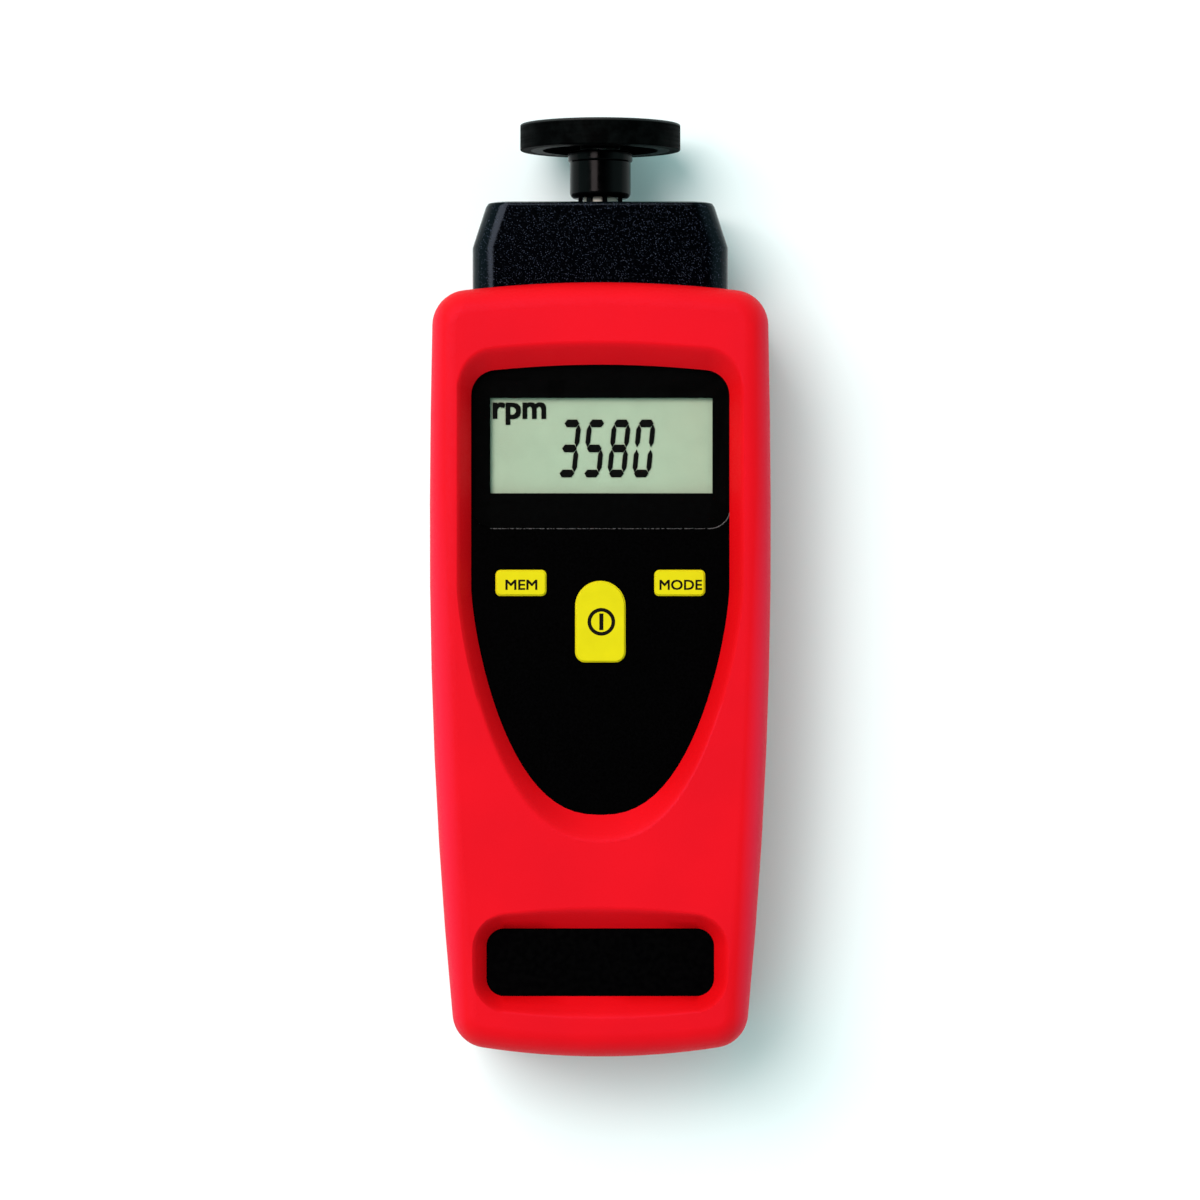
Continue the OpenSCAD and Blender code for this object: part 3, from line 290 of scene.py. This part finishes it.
def grained_black(name, gloss, dark, light, roughness, depth_mm):
    """Black ABS, coarser and glossier on the head. Gives it, its surface, its grain and the place on it."""
    head_from_y, head_full_y = 0.049, 0.051
    pit_mm, pit_share = 0.34, 0.27
    material, shader, place = finish(name, Specular_IOR_Level=gloss)
    coarse = place.grain(0.3, 2, 0.6)
    feed(
        shader,
        Base_Color=coarse.between(0.4, 0.75).blend(dark, light),
        Roughness=coarse.between(0.3, 0.7, roughness, roughness + 0.12),
        Normal=coarse.bump(depth_mm, 0.8),
    )
    sparks = place.grain(0.36, 2, 0.7)
    pits = place.node("ShaderNodeTexVoronoi", {}, {"Vector": place, "Scale": 1 / (pit_mm * MM)}) < pit_share
    # Pale bluish specks in the head's colour are painted glints; the same pits also bump its grain.
    pit_bumps_and_painted_glints = pits * place.grain(0.8, 3, 0.7).between(0.42, 0.6)
    head_part = place.node("ShaderNodeBsdfPrincipled", {}, {
        "Specular IOR Level": 0.12,
        "Specular Tint": (0.6, 0.8, 1.0, 1),
        "Base Color": pit_bumps_and_painted_glints.blend((0.0002, 0.0003, 0.0008, 1), (0.03, 0.036, 0.058, 1)),
        "Roughness": sparks.between(0.3, 0.7, 0.08, 0.15),
        "Normal": (sparks * 0.6 + pit_bumps_and_painted_glints).bump(0.035, 0.8)})
    on_head = place.axis("Y").between(head_from_y, head_full_y)
    panel_part = Flow(place.tree, shader.outputs["BSDF"])
    surface = place.node("ShaderNodeMixShader", {}, {0: on_head, 1: panel_part, 2: head_part})
    show(material, surface)
    return material, surface, coarse, place


shell_black, both_parts, coarse, place = grained_black(
    "grained_black_shell", gloss=0.008, dark=(0.0001, 0.0001, 0.0001, 1), light=(0.0008, 0.0008, 0.001, 1),
    roughness=0.3, depth_mm=0.02)
eased_part = place.node("ShaderNodeBsdfPrincipled", {}, {
    "Specular IOR Level": 0.9,
    "Base Color": (0.001, 0.001, 0.0012, 1),
    "Roughness": coarse.between(0.35, 0.65, 0.2, 0.6)})
seat_low, seat_high = (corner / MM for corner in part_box("display_lens"))
seat_corner, seat_edge_w, seat_edge_depth = 3.9, 0.3, 0.25
bright_from_left = 3.5


def past_straight(along, low, high):
    """How far a place lies past the straight stretch of the lens along an axis, in millimetres."""
    middle, half_stretch = (low + high) / 2, (high - low) / 2 - seat_corner
    return (abs(along / MM - middle) - half_stretch).at_least(0.0)


past_side = past_straight(place.axis("X"), seat_low.x, seat_high.x)
past_end = past_straight(place.axis("Y"), seat_low.y, seat_high.y)
from_lens = (past_side ** 2.0 + past_end ** 2.0) ** 0.5 - seat_corner
on_edge = (from_lens > 0.0) * (from_lens < seat_edge_w)
on_edge = on_edge * (place.axis("Z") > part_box("front_case")[1].z - seat_edge_depth * MM)
along_foot = place.axis("Y") < (seat_low.y + seat_corner) * MM
along_foot = along_foot * (place.axis("X") > (seat_low.x + bright_from_left) * MM)
at_corner = place.axis("X") > (seat_high.x - seat_corner) * MM
bright_spots = at_corner.at_least(place.grain(0.5, 1) > 0.48)
below_lens = on_edge * along_foot * bright_spots
show(shell_black, place.node("ShaderNodeMixShader", {}, {0: below_lens, 1: both_parts, 2: eased_part}))


def select_only(piece):
    """Makes a piece the only one selected, with no edge selected in it."""
    bpy.ops.object.select_all(action="DESELECT")
    bpy.context.view_layer.objects.active = piece
    piece.select_set(True)
    bpy.ops.object.mode_set(mode="EDIT")
    bpy.ops.mesh.select_mode(type="EDGE")
    bpy.ops.mesh.select_all(action="DESELECT")
    bpy.ops.object.mode_set(mode="OBJECT")


def bevel_edges(piece, test, width, segments):
    """Rounds the edges whose two ends pass a test of their place in millimetres."""
    select_only(piece)
    vertices = piece.data.vertices
    for edge in piece.data.edges:
        edge.select = all(test(*(vertices[v].co / MM)) for v in edge.vertices)
    bpy.ops.object.mode_set(mode="EDIT")
    bpy.ops.mesh.bevel(offset=width * MM, segments=segments, affect="EDGES", clamp_overlap=True)
    bpy.ops.object.mode_set(mode="OBJECT")


def at_lens_seat(x, y, z):
    """Whether a place in millimetres is on the upper edge of the lens seat."""
    round_it, below_face = 0.5, 0.6
    beside = seat_low.x - round_it < x < seat_high.x + round_it
    along = seat_low.y - round_it < y < seat_high.y + round_it
    return beside and along and z > seat_high.z - below_face


front_shell = merged_copy("front_shell", "front_case")
bevel_edges(front_shell, at_lens_seat, width=0.2, segments=3)
smooth(front_shell, crease=32)
dress(front_shell, shell_black, "root", "black_shell", "front_case")

rear_black = grained_black(
    "grained_black_back", gloss=0.3, dark=(0.006, 0.007, 0.009, 1), light=(0.008, 0.009, 0.011, 1),
    roughness=0.36, depth_mm=0.03)[0]
rear_shell = smooth(merged_copy("rear_shell", "rear_case"), crease=32)
dress(rear_shell, rear_black, "root", "black_shell", "rear_case")


def shade(colour, share=1.0):
    """A colour at a share of its brightness, with its opacity."""
    return tuple(part * share for part in colour) + (1,)


def metal(name, colour, roughness, streak_mm):
    """Plain metal with fine scratches and a little cloudiness."""
    material, shader, place = finish(name, Metallic=1.0)
    cloud = place.grain(streak_mm, 3, 0.6)
    feed(
        shader,
        Base_Color=cloud.between(0.3, 0.7).blend(shade(colour, 0.86), shade(colour)),
        Roughness=place.grain(streak_mm / 3, 2).between(0.3, 0.7, roughness, roughness + 0.12),
        Normal=cloud.bump(0.01, 0.4),
    )
    return material


def recoat(material, *names):
    """Gives CAD nodes a material in place of their plain one."""
    for name in names:
        nodes[name].data.materials.clear()
        nodes[name].data.materials.append(material)


screw_steel = metal("screw_steel", (0.56, 0.55, 0.53), roughness=0.28, streak_mm=1.5)
recoat(screw_steel, "case_screws")


# Label plate: a bare plate of black plastic film, punched to shape. It lies in a shallow seat
# of the front shell, behind the lower window of the rubber.
def black_film(name, roughness):
    """Smooth black film, nearly matt, with a very faint orange peel."""
    material, shader, place = finish(name, Specular_IOR_Level=0.012)
    peel = place.grain(1.2, 3)
    feed(
        shader,
        Base_Color=peel.between(0.4, 0.6).blend((0.0002, 0.0002, 0.0003, 1), (0.0006, 0.0006, 0.0007, 1)),
        Roughness=peel.between(0.3, 0.7, roughness, roughness + 0.08),
        Normal=peel.bump(0.006, 0.5),
    )
    return material


recoat(black_film("plate_black", roughness=0.3), "label_plate")


# Display: a clear lens with a printed black mask, over a liquid crystal cell. A frame holds the
# cell over the board, on two rubber contact strips. The cell shows rpm and 3580, whose dark
# segments lie on its front glass and shade the mirror behind it.
display_x, display_y = 0.2, 28.3
top_slack = 0.01
lens_piece = merged_copy("printed_lens", "display_lens")
lens_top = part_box("display_lens")[1].z / MM
bevel_edges(lens_piece, lambda x, y, z: z > lens_top - top_slack, width=0.15, segments=2)
smooth(lens_piece, crease=40)
clear_tint = (0.01, 0.011, 0.01, 1)
lens_gloss, lens_shader, place = finish(
    "lens_clear", Roughness=0.05, Specular_IOR_Level=0.5, Base_Color=clear_tint)
feed(lens_shader, Alpha=place.grain(6, 2).between(0.3, 0.7, 0.035, 0.05))
dress(lens_piece, lens_gloss, "root", "clear_lens", "display_lens")
recoat(black_film("mask_black", roughness=0.5), "display_mask")


def plate(name, x, y, z, size, corner):
    """A flat plate from a cube, with its upright edges rounded: centre, low face and size in millimetres."""
    wide, long, thick = size
    piece = new_piece(bpy.ops.mesh.primitive_cube_add, size=1.0)
    piece.name = name
    piece.data.transform(Matrix.Diagonal((wide * MM, long * MM, thick * MM, 1)))
    piece.data.transform(Matrix.Translation(Vector((x, y, z + thick / 2)) * MM))
    select_only(piece)
    vertices = piece.data.vertices
    for edge in piece.data.edges:
        low, high = (vertices[v].co for v in edge.vertices)
        edge.select = abs(low.z - high.z) > thick * MM / 2
    bpy.ops.object.mode_set(mode="EDIT")
    bpy.ops.mesh.bevel(offset=corner * MM, segments=3, affect="EDGES")
    bpy.ops.object.mode_set(mode="OBJECT")
    return piece


cell_low, cell_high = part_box("lcd_module")
cell_foot, cell_top = cell_low.z / MM, cell_high.z / MM
cell_w, cell_h = (cell_high.x - cell_low.x) / MM, (cell_high.y - cell_low.y) / MM
mirror_drop, glass_gap, bare_contacts = 0.15, 0.01, 2.4
mirror_size = (cell_w, cell_h, cell_top - mirror_drop - cell_foot)
mirror = plate("cell_mirror", display_x, display_y, cell_foot, mirror_size, corner=0.3)
mirror_finish, mirror_shader, place = finish("cell_mirror", Roughness=0.55, Specular_IOR_Level=0.2)
silk = place.grain(0.3, 2)
feed(
    mirror_shader,
    Base_Color=silk.between(0.35, 0.65).blend((0.44, 0.568, 0.402, 1), (0.47, 0.602, 0.427, 1)),
    Normal=silk.bump(0.01, 0.3),
)
dress(mirror, mirror_finish, "root", "display", "lcd_module")
glass_foot = cell_top - mirror_drop + glass_gap
glass_size = (cell_w, cell_h - bare_contacts, mirror_drop - glass_gap)
glass = plate("cell_glass", display_x, display_y, glass_foot, glass_size, corner=0.2)
glass_finish, glass_shader, place = finish(
    "cell_glass", Roughness=0.05, Specular_IOR_Level=0.4, Base_Color=clear_tint)
feed(glass_shader, Alpha=place.grain(3, 2).between(0.3, 0.7, 0.015, 0.025))
dress(glass, glass_finish, "root", "clear_lens")

digit_w, digit_h = 3.68, 11.34
bar_t, upright_t = 1.5, 0.95
bar_taper, bar_gap = bar_t * 0.34, -0.08
upright_taper, upright_gap = upright_t, 0.2
digit_lean = 0.1
digit_pitch = 4.87
digits_middle_y = 27.78
first_digit_x, digits_y = -8.48, digits_middle_y - digit_h / 2
ink_t = 0.02


def segment(start, end, thickness, taper, gap):
    """One segment as a flat hexagon between two corners of a digit in millimetres, leaned as the digit is."""
    bar = new_piece(bpy.ops.mesh.primitive_circle_add, vertices=6, radius=1.0, fill_type="NGON")
    run = end - start
    length = run.length
    side = Vector((-run.y, run.x)) / length
    run = run / length
    near, far = gap, length - gap
    tips = [
        (far - taper, 0.5), (far, 0), (far - taper, -0.5),
        (near + taper, -0.5), (near, 0), (near + taper, 0.5)]
    for vertex, (along, across) in zip(bar.data.vertices, tips):
        flat = start + run * along + side * across * thickness
        vertex.co = Vector((flat.x + flat.y * digit_lean, flat.y, 0)) * MM
    return bar


left, right = upright_t / 2, digit_w - upright_t / 2
bottom, middle, top = bar_t / 2, digit_h / 2, digit_h - bar_t / 2
level_ends = {
    "a": ((left, top), (right, top)), "g": ((left, middle), (right, middle)),
    "d": ((left, bottom), (right, bottom))}
upright_ends = {
    "b": ((right, middle), (right, top)), "c": ((right, bottom), (right, middle)),
    "f": ((left, middle), (left, top)), "e": ((left, bottom), (left, middle))}
shown_segments = {"3": "abgcd", "5": "afgcd", "8": "abcdefg", "0": "abcdef"}


def join_flat(name, parts, height_mm):
    """Joins flat shapes into one printed piece at a height, as thick as the ink."""
    bpy.ops.object.select_all(action="DESELECT")
    for part in parts:
        part.select_set(True)
    bpy.context.view_layer.objects.active = parts[0]
    if len(parts) > 1:
        bpy.ops.object.join()
    piece = bpy.context.object
    piece.name = name
    bpy.ops.object.mode_set(mode="EDIT")
    bpy.ops.mesh.select_all(action="SELECT")
    bpy.ops.mesh.normals_make_consistent(inside=False)
    bpy.ops.mesh.extrude_region_move(TRANSFORM_OT_translate={"value": (0, 0, ink_t * MM)})
    bpy.ops.mesh.select_all(action="SELECT")
    bpy.ops.mesh.normals_make_consistent(inside=False)
    bpy.ops.object.mode_set(mode="OBJECT")
    piece.data.transform(Matrix.Translation((0, 0, height_mm * MM)))
    return piece


bars = []
for number, digit in enumerate("3580"):
    offset = Vector((first_digit_x + number * digit_pitch, digits_y, 0)) * MM
    for letter in shown_segments[digit]:
        if letter in level_ends:
            start, end = (Vector(corner) for corner in level_ends[letter])
            bar = segment(start, end, bar_t, bar_taper, bar_gap)
        else:
            start, end = (Vector(corner) for corner in upright_ends[letter])
            bar = segment(start, end, upright_t, upright_taper, upright_gap)
        bar.data.transform(Matrix.Translation(offset))
        bars.append(bar)
digits = join_flat("display_digits", bars, cell_top)


def word(name, text, box):
    """Generic lettering as a flat shape, in a box of left, foot, right, top and baseline in millimetres."""
    least_depth = 1e-9
    start_x, foot, end_x, head, baseline = box
    bpy.ops.object.select_all(action="DESELECT")
    bpy.ops.object.text_add()
    bpy.context.object.data.body = text
    bpy.context.object.data.resolution_u = 3
    bpy.ops.object.convert(target="MESH")
    piece = bpy.context.object
    piece.name = name
    xs = [v.co.x for v in piece.data.vertices]
    ys = [v.co.y for v in piece.data.vertices]
    wide = (end_x - start_x) / (max(xs) - min(xs))
    up = (head - baseline) / max(ys)
    down = (baseline - foot) / max(-min(ys), least_depth)
    for v in piece.data.vertices:
        height = v.co.y * (up if v.co.y > 0 else down)
        v.co = Vector((start_x + (v.co.x - min(xs)) * wide, baseline + height, 0)) * MM
    return piece


def bold_word(name, text, box, weight, height_mm):
    """A printed word whose strokes are made wider by a weight in millimetres, as a union of shifted prints."""
    start_x, foot, end_x, head, baseline = box
    inner = (start_x + weight, foot + weight, end_x - weight, head - weight, baseline + weight)
    step_shares = ((0, 0), (1, 0.96), (-1, -1), (0.97, -1), (-0.97, 0.98))
    prints = []
    for step_x, step_y in step_shares:
        copy = join_flat(name, [word(name, text, inner)], height_mm)
        copy.data.transform(Matrix.Translation((step_x * weight * MM, step_y * weight * MM, 0)))
        prints.append(copy)
    piece = prints[0]
    for copy in prints[1:]:
        union = piece.modifiers.new("bolder", "BOOLEAN")
        union.operation = "UNION"
        union.solver = "EXACT"
        union.object = copy
        bpy.context.view_layer.objects.active = piece
        bpy.ops.object.modifier_apply(modifier=union.name)
        bpy.data.objects.remove(copy)
    return piece


unit_box, unit_weight = (-21.15, 32.4, -10.65, 36.85, 33.57), 0.17
unit = bold_word("display_rpm", "rpm", unit_box, unit_weight, cell_top)
ink, ink_shader, place = finish("segment_black", Roughness=0.5, Specular_IOR_Level=0.03)
ink_cloud = place.grain(1.5, 2).between(0.3, 0.7)
feed(ink_shader, Base_Color=ink_cloud.blend((0.001, 0.0012, 0.001, 1), (0.002, 0.0024, 0.002, 1)))
dress(digits, ink, "root", "black_print")
dress(unit, ink, "root", "black_print")


def moulded(name, colour, roughness, grain_mm=0.8, depth_mm=0.01, gloss=0.4):
    """Plain moulded plastic or rubber: slightly cloudy colour, uneven sheen and a fine grain."""
    cloud_mm = grain_mm * 9
    material, shader, place = finish(name, Specular_IOR_Level=gloss)
    speck = place.grain(grain_mm, 3)
    feed(
        shader,
        Base_Color=place.grain(cloud_mm, 2).between(0.3, 0.7).blend(shade(colour, 0.93), shade(colour)),
        Roughness=speck.between(0.3, 0.7, roughness - 0.05, roughness + 0.08),
        Normal=speck.bump(depth_mm, 0.6),
    )
    return material


recoat(moulded("frame_plastic", (0.75, 0.75, 0.70), roughness=0.5), "lcd_frame")
recoat(moulded("contact_rubber", (0.80, 0.32, 0.36), roughness=0.65), "lcd_connectors")


# Keys: three keys of firm yellow silicone with printed legends. Each stands in its hole on a
# flange that keeps it in, and presses a switch on the board with its stem.
key_yellow = moulded(
    "key_yellow", (0.68, 0.58, 0.002), roughness=0.42, grain_mm=0.5, depth_mm=0.008, gloss=0.08)
legend_ink = moulded(
    "legend_ink", (0.004, 0.003, 0.001), roughness=0.5, grain_mm=0.4, depth_mm=0.004, gloss=0.05)
for node_name, body in (("mem_button", "mem_key"), ("mode_button", "mode_key"), ("power_button", "power_key")):
    key = merged_copy(node_name.replace("button", "key"), node_name)
    key_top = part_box(node_name)[1].z / MM
    bevel_edges(key, lambda x, y, z: z > key_top - top_slack, width=0.18, segments=2)
    smooth(key, crease=50)
    dress(key, key_yellow, body, "key_yellow", node_name)

legend_foot, legend_head, legend_weight = -0.02, 1.98, 0.06
mem_box = (-18.58, legend_foot, -12.32, legend_head, legend_foot)
mode_box = (11.58, legend_foot, 19.92, legend_head, legend_foot)
mem_word = bold_word("mem_legend", "MEM", mem_box, legend_weight, key_top)
mode_word = bold_word("mode_legend", "MODE", mode_box, legend_weight, key_top)
dress(mem_word, legend_ink, "mem_key", "black_print")
dress(mode_word, legend_ink, "mode_key", "black_print")

symbol_x, symbol_y = 0.2, -6.27
ring_r, ring_w = 2.71, 0.71
stroke_w, stroke_h = 0.8, 3.26
ring = new_piece(
    bpy.ops.mesh.primitive_circle_add, vertices=64, radius=ring_r * MM, fill_type="NGON",
    location=(symbol_x * MM, symbol_y * MM, 0))
bpy.ops.object.transform_apply(location=True, rotation=True, scale=True)
bpy.ops.object.mode_set(mode="EDIT")
bpy.ops.mesh.select_all(action="SELECT")
bpy.ops.mesh.inset(thickness=ring_w * MM)
bpy.ops.mesh.delete(type="FACE")
bpy.ops.object.mode_set(mode="OBJECT")
stroke = new_piece(bpy.ops.mesh.primitive_plane_add, size=1.0)
stroke.data.transform(Matrix.Diagonal((stroke_w * MM, stroke_h * MM, 1, 1)))
stroke.data.transform(Matrix.Translation((symbol_x * MM, symbol_y * MM, 0)))
power_symbol = join_flat("power_legend", [ring, stroke], key_top)
dress(power_symbol, legend_ink, "power_key", "black_print")


# Electronics: a green glass-fibre board, held to the front shell by four small screws. The key
# switches are soldered to its front, and the controller and its crystal to its back.
recoat(moulded("switch_black", (0.03, 0.03, 0.033), roughness=0.4), "tact_switches")
board, board_shader, place = finish("board_green", Roughness=0.35, Specular_IOR_Level=0.5)
lane_gap, lane_length, lane_pitch = 0.00018, 0.0061, 0.0013
lanes = place.node("ShaderNodeTexBrick", {"offset": 0.37, "squash": 1.0}, {
    "Vector": place, "Scale": 1.0, "Mortar Size": lane_gap, "Brick Width": lane_length,
    "Row Height": lane_pitch, "Mortar Smooth": 0.2}, output="Fac")
feed(
    board_shader,
    Base_Color=lanes.blend((0.012, 0.105, 0.035, 1), (0.03, 0.20, 0.07, 1)),
    Normal=lanes.bump(0.02, 0.6),
)
recoat(board, "pcb")
recoat(screw_steel, "pcb_screws", "crystal")
recoat(moulded("chip_black", (0.02, 0.02, 0.022), roughness=0.55), "microcontroller")


# Battery: two cells in printed steel jackets, side by side in the well of the rear shell,
# between coil springs and sheet contacts of nickelled steel. The door over them is black ABS,
# hooked at one end and snapped at the other.
door_piece = smooth(merged_copy("battery_cover", "battery_door"), crease=30)
dress(door_piece, rear_black, "door", "black_shell", "battery_door")
jacket, jacket_shader, place = finish("cell_jacket", Specular_IOR_Level=0.5, Roughness=0.3)
copper_from_y = -0.034
copper_band = place.axis("Y") > copper_from_y
rub = place.grain(4, 3)
feed(
    jacket_shader,
    Base_Color=copper_band.blend((0.02, 0.02, 0.022, 1), (0.50, 0.26, 0.10, 1)),
    Metallic=rub.between(0.3, 0.7, 0.3, 0.5),
    Normal=rub.bump(0.01, 0.3),
)
recoat(jacket, "battery_left", "battery_right")
spring_nickel = metal("spring_nickel", (0.66, 0.64, 0.60), roughness=0.25, streak_mm=0.8)
recoat(spring_nickel, "battery_contacts", "battery_springs")


# Optics: a block of black plastic behind the round port, bored for the laser and the receiver
# in their metal cans, with a window of red plastic at the foot of the port.
recoat(moulded("optic_black", (0.012, 0.012, 0.013), roughness=0.6), "optics_block")
red_window, red_window_shader, place = finish("red_window", Roughness=0.05, Specular_IOR_Level=0.5)
tint = place.grain(2, 2)
feed(
    red_window_shader,
    Base_Color=tint.blend((0.30, 0.004, 0.012, 1), (0.36, 0.006, 0.016, 1)),
    Alpha=tint.between(0, 1, 0.7, 0.8),
)
recoat(red_window, "port_window")
recoat(metal("can_brass", (0.72, 0.56, 0.30), roughness=0.3, streak_mm=1.0), "laser_diode")
recoat(metal("can_steel", (0.60, 0.60, 0.62), roughness=0.35, streak_mm=1.0), "photodiode")


# Adapter: a smooth barrel of black acetal, whose six spring claws snap into the port, closed
# by a turned cap. Two bronze bushes pressed into it carry the steel spindle, and the rotor of
# pale plastic sits on the spindle's inner end.
acetal, acetal_shader, place = finish("black_acetal", Specular_IOR_Level=0.06)
turned = place.grain(1.6, 3, 0.6)
feed(
    acetal_shader,
    Base_Color=turned.between(0.3, 0.7).blend((0.0002, 0.0002, 0.0003, 1), (0.0006, 0.0006, 0.0008, 1)),
    Roughness=turned.between(0.3, 0.7, 0.1, 0.2),
    Normal=turned.bump(0.02, 0.5),
)
barrel = smooth(merged_copy("barrel_with_claws", "adapter_barrel"), crease=40)
dress(barrel, acetal, "adapter", "adapter_black", "adapter_barrel")
cap = smooth(merged_copy("barrel_cap", "adapter_cap"), crease=40)
dress(cap, acetal, "adapter", "adapter_black", "adapter_cap")
recoat(metal("bush_bronze", (0.62, 0.40, 0.20), roughness=0.35, streak_mm=0.6), "bush_near", "bush_far")
recoat(metal("spindle_steel", (0.60, 0.60, 0.60), roughness=0.2, streak_mm=0.6), "spindle")
rotor_piece = smooth(merged_copy("pale_rotor", "rotor"), crease=40)
dress(rotor_piece, moulded("rotor_pale", (0.8, 0.82, 0.72), roughness=0.45), "shaft", "rotor_white", "rotor")


# Measuring wheel: a wheel of black plastic with a set-back web, pushed onto the spindle. Its
# rubber tyre was ground on its tread, so fine lines run round it, and the faces on the outer
# side are glossier than the rest.
def glossier(material, share, **sockets):
    """Mixes a second, glossier shader into a material where a share says so."""
    plain = Flow(share.tree, material.node_tree.nodes["Principled BSDF"].outputs["BSDF"])
    values = {name.replace("_", " "): value for name, value in sockets.items()}
    glossy = share.node("ShaderNodeBsdfPrincipled", {}, values)
    show(material, share.node("ShaderNodeMixShader", {}, {0: share, 1: plain, 2: glossy}))


rim_piece = smooth(merged_copy("wheel_body", "wheel_rim"), crease=40)
wheel_black = moulded(
    "wheel_black", (0.0005, 0.0006, 0.0007), roughness=0.4, grain_mm=0.9, depth_mm=0.012, gloss=0.012)
wheel_face_from_y, wheel_face_y = 0.0892, 0.0899
at_wheel = Flow(wheel_black.node_tree).node("ShaderNodeTexCoord", {}, {}, output="Object")
speck = at_wheel.grain(0.6, 3)
glossier(
    wheel_black,
    at_wheel.axis("Y").between(wheel_face_from_y, wheel_face_y),
    Base_Color=(0.006, 0.006, 0.007, 1),
    Roughness=speck.between(0.3, 0.7, 0.28, 0.42),
    Specular_IOR_Level=0.4,
    Normal=speck.bump(0.012, 0.6),
)
dress(rim_piece, wheel_black, "wheel", "wheel_black", "wheel_rim")

tyre_piece = smooth(merged_copy("wheel_tyre", "tyre"), crease=40)
tyre_rubber, tyre_shader, place = finish("tyre_rubber", Specular_IOR_Level=0.012)
tyre_face_from_y, tyre_face_y = 0.0919, 0.0922
line_counts = (60, 2200, 60)
stretched = place.node("ShaderNodeVectorMath", {"operation": "MULTIPLY"}, {0: place, 1: line_counts})
lines = place.node("ShaderNodeTexNoise", {}, {"Vector": stretched, "Scale": 1.0, "Detail": 3.0})
wear = place.grain(3.0, 4, 0.65)
feed(
    tyre_shader,
    Base_Color=wear.between(0.42, 0.7).blend((0.0001, 0.0002, 0.0002, 1), (0.002, 0.0026, 0.0026, 1)),
    Roughness=lines.between(0.3, 0.7, 0.5, 0.72),
    Normal=(lines * 0.7 + wear * 0.5).bump(0.05, 0.6),
)
glossier(
    tyre_rubber,
    place.axis("Y").between(tyre_face_from_y, tyre_face_y),
    Base_Color=(0.012, 0.012, 0.012, 1),
    Roughness=wear.between(0.3, 0.7, 0.5, 0.7),
    Specular_IOR_Level=0.35,
    Normal=wear.bump(0.05, 0.6),
)
dress(tyre_piece, tyre_rubber, "wheel", "tyre_black", "tyre")
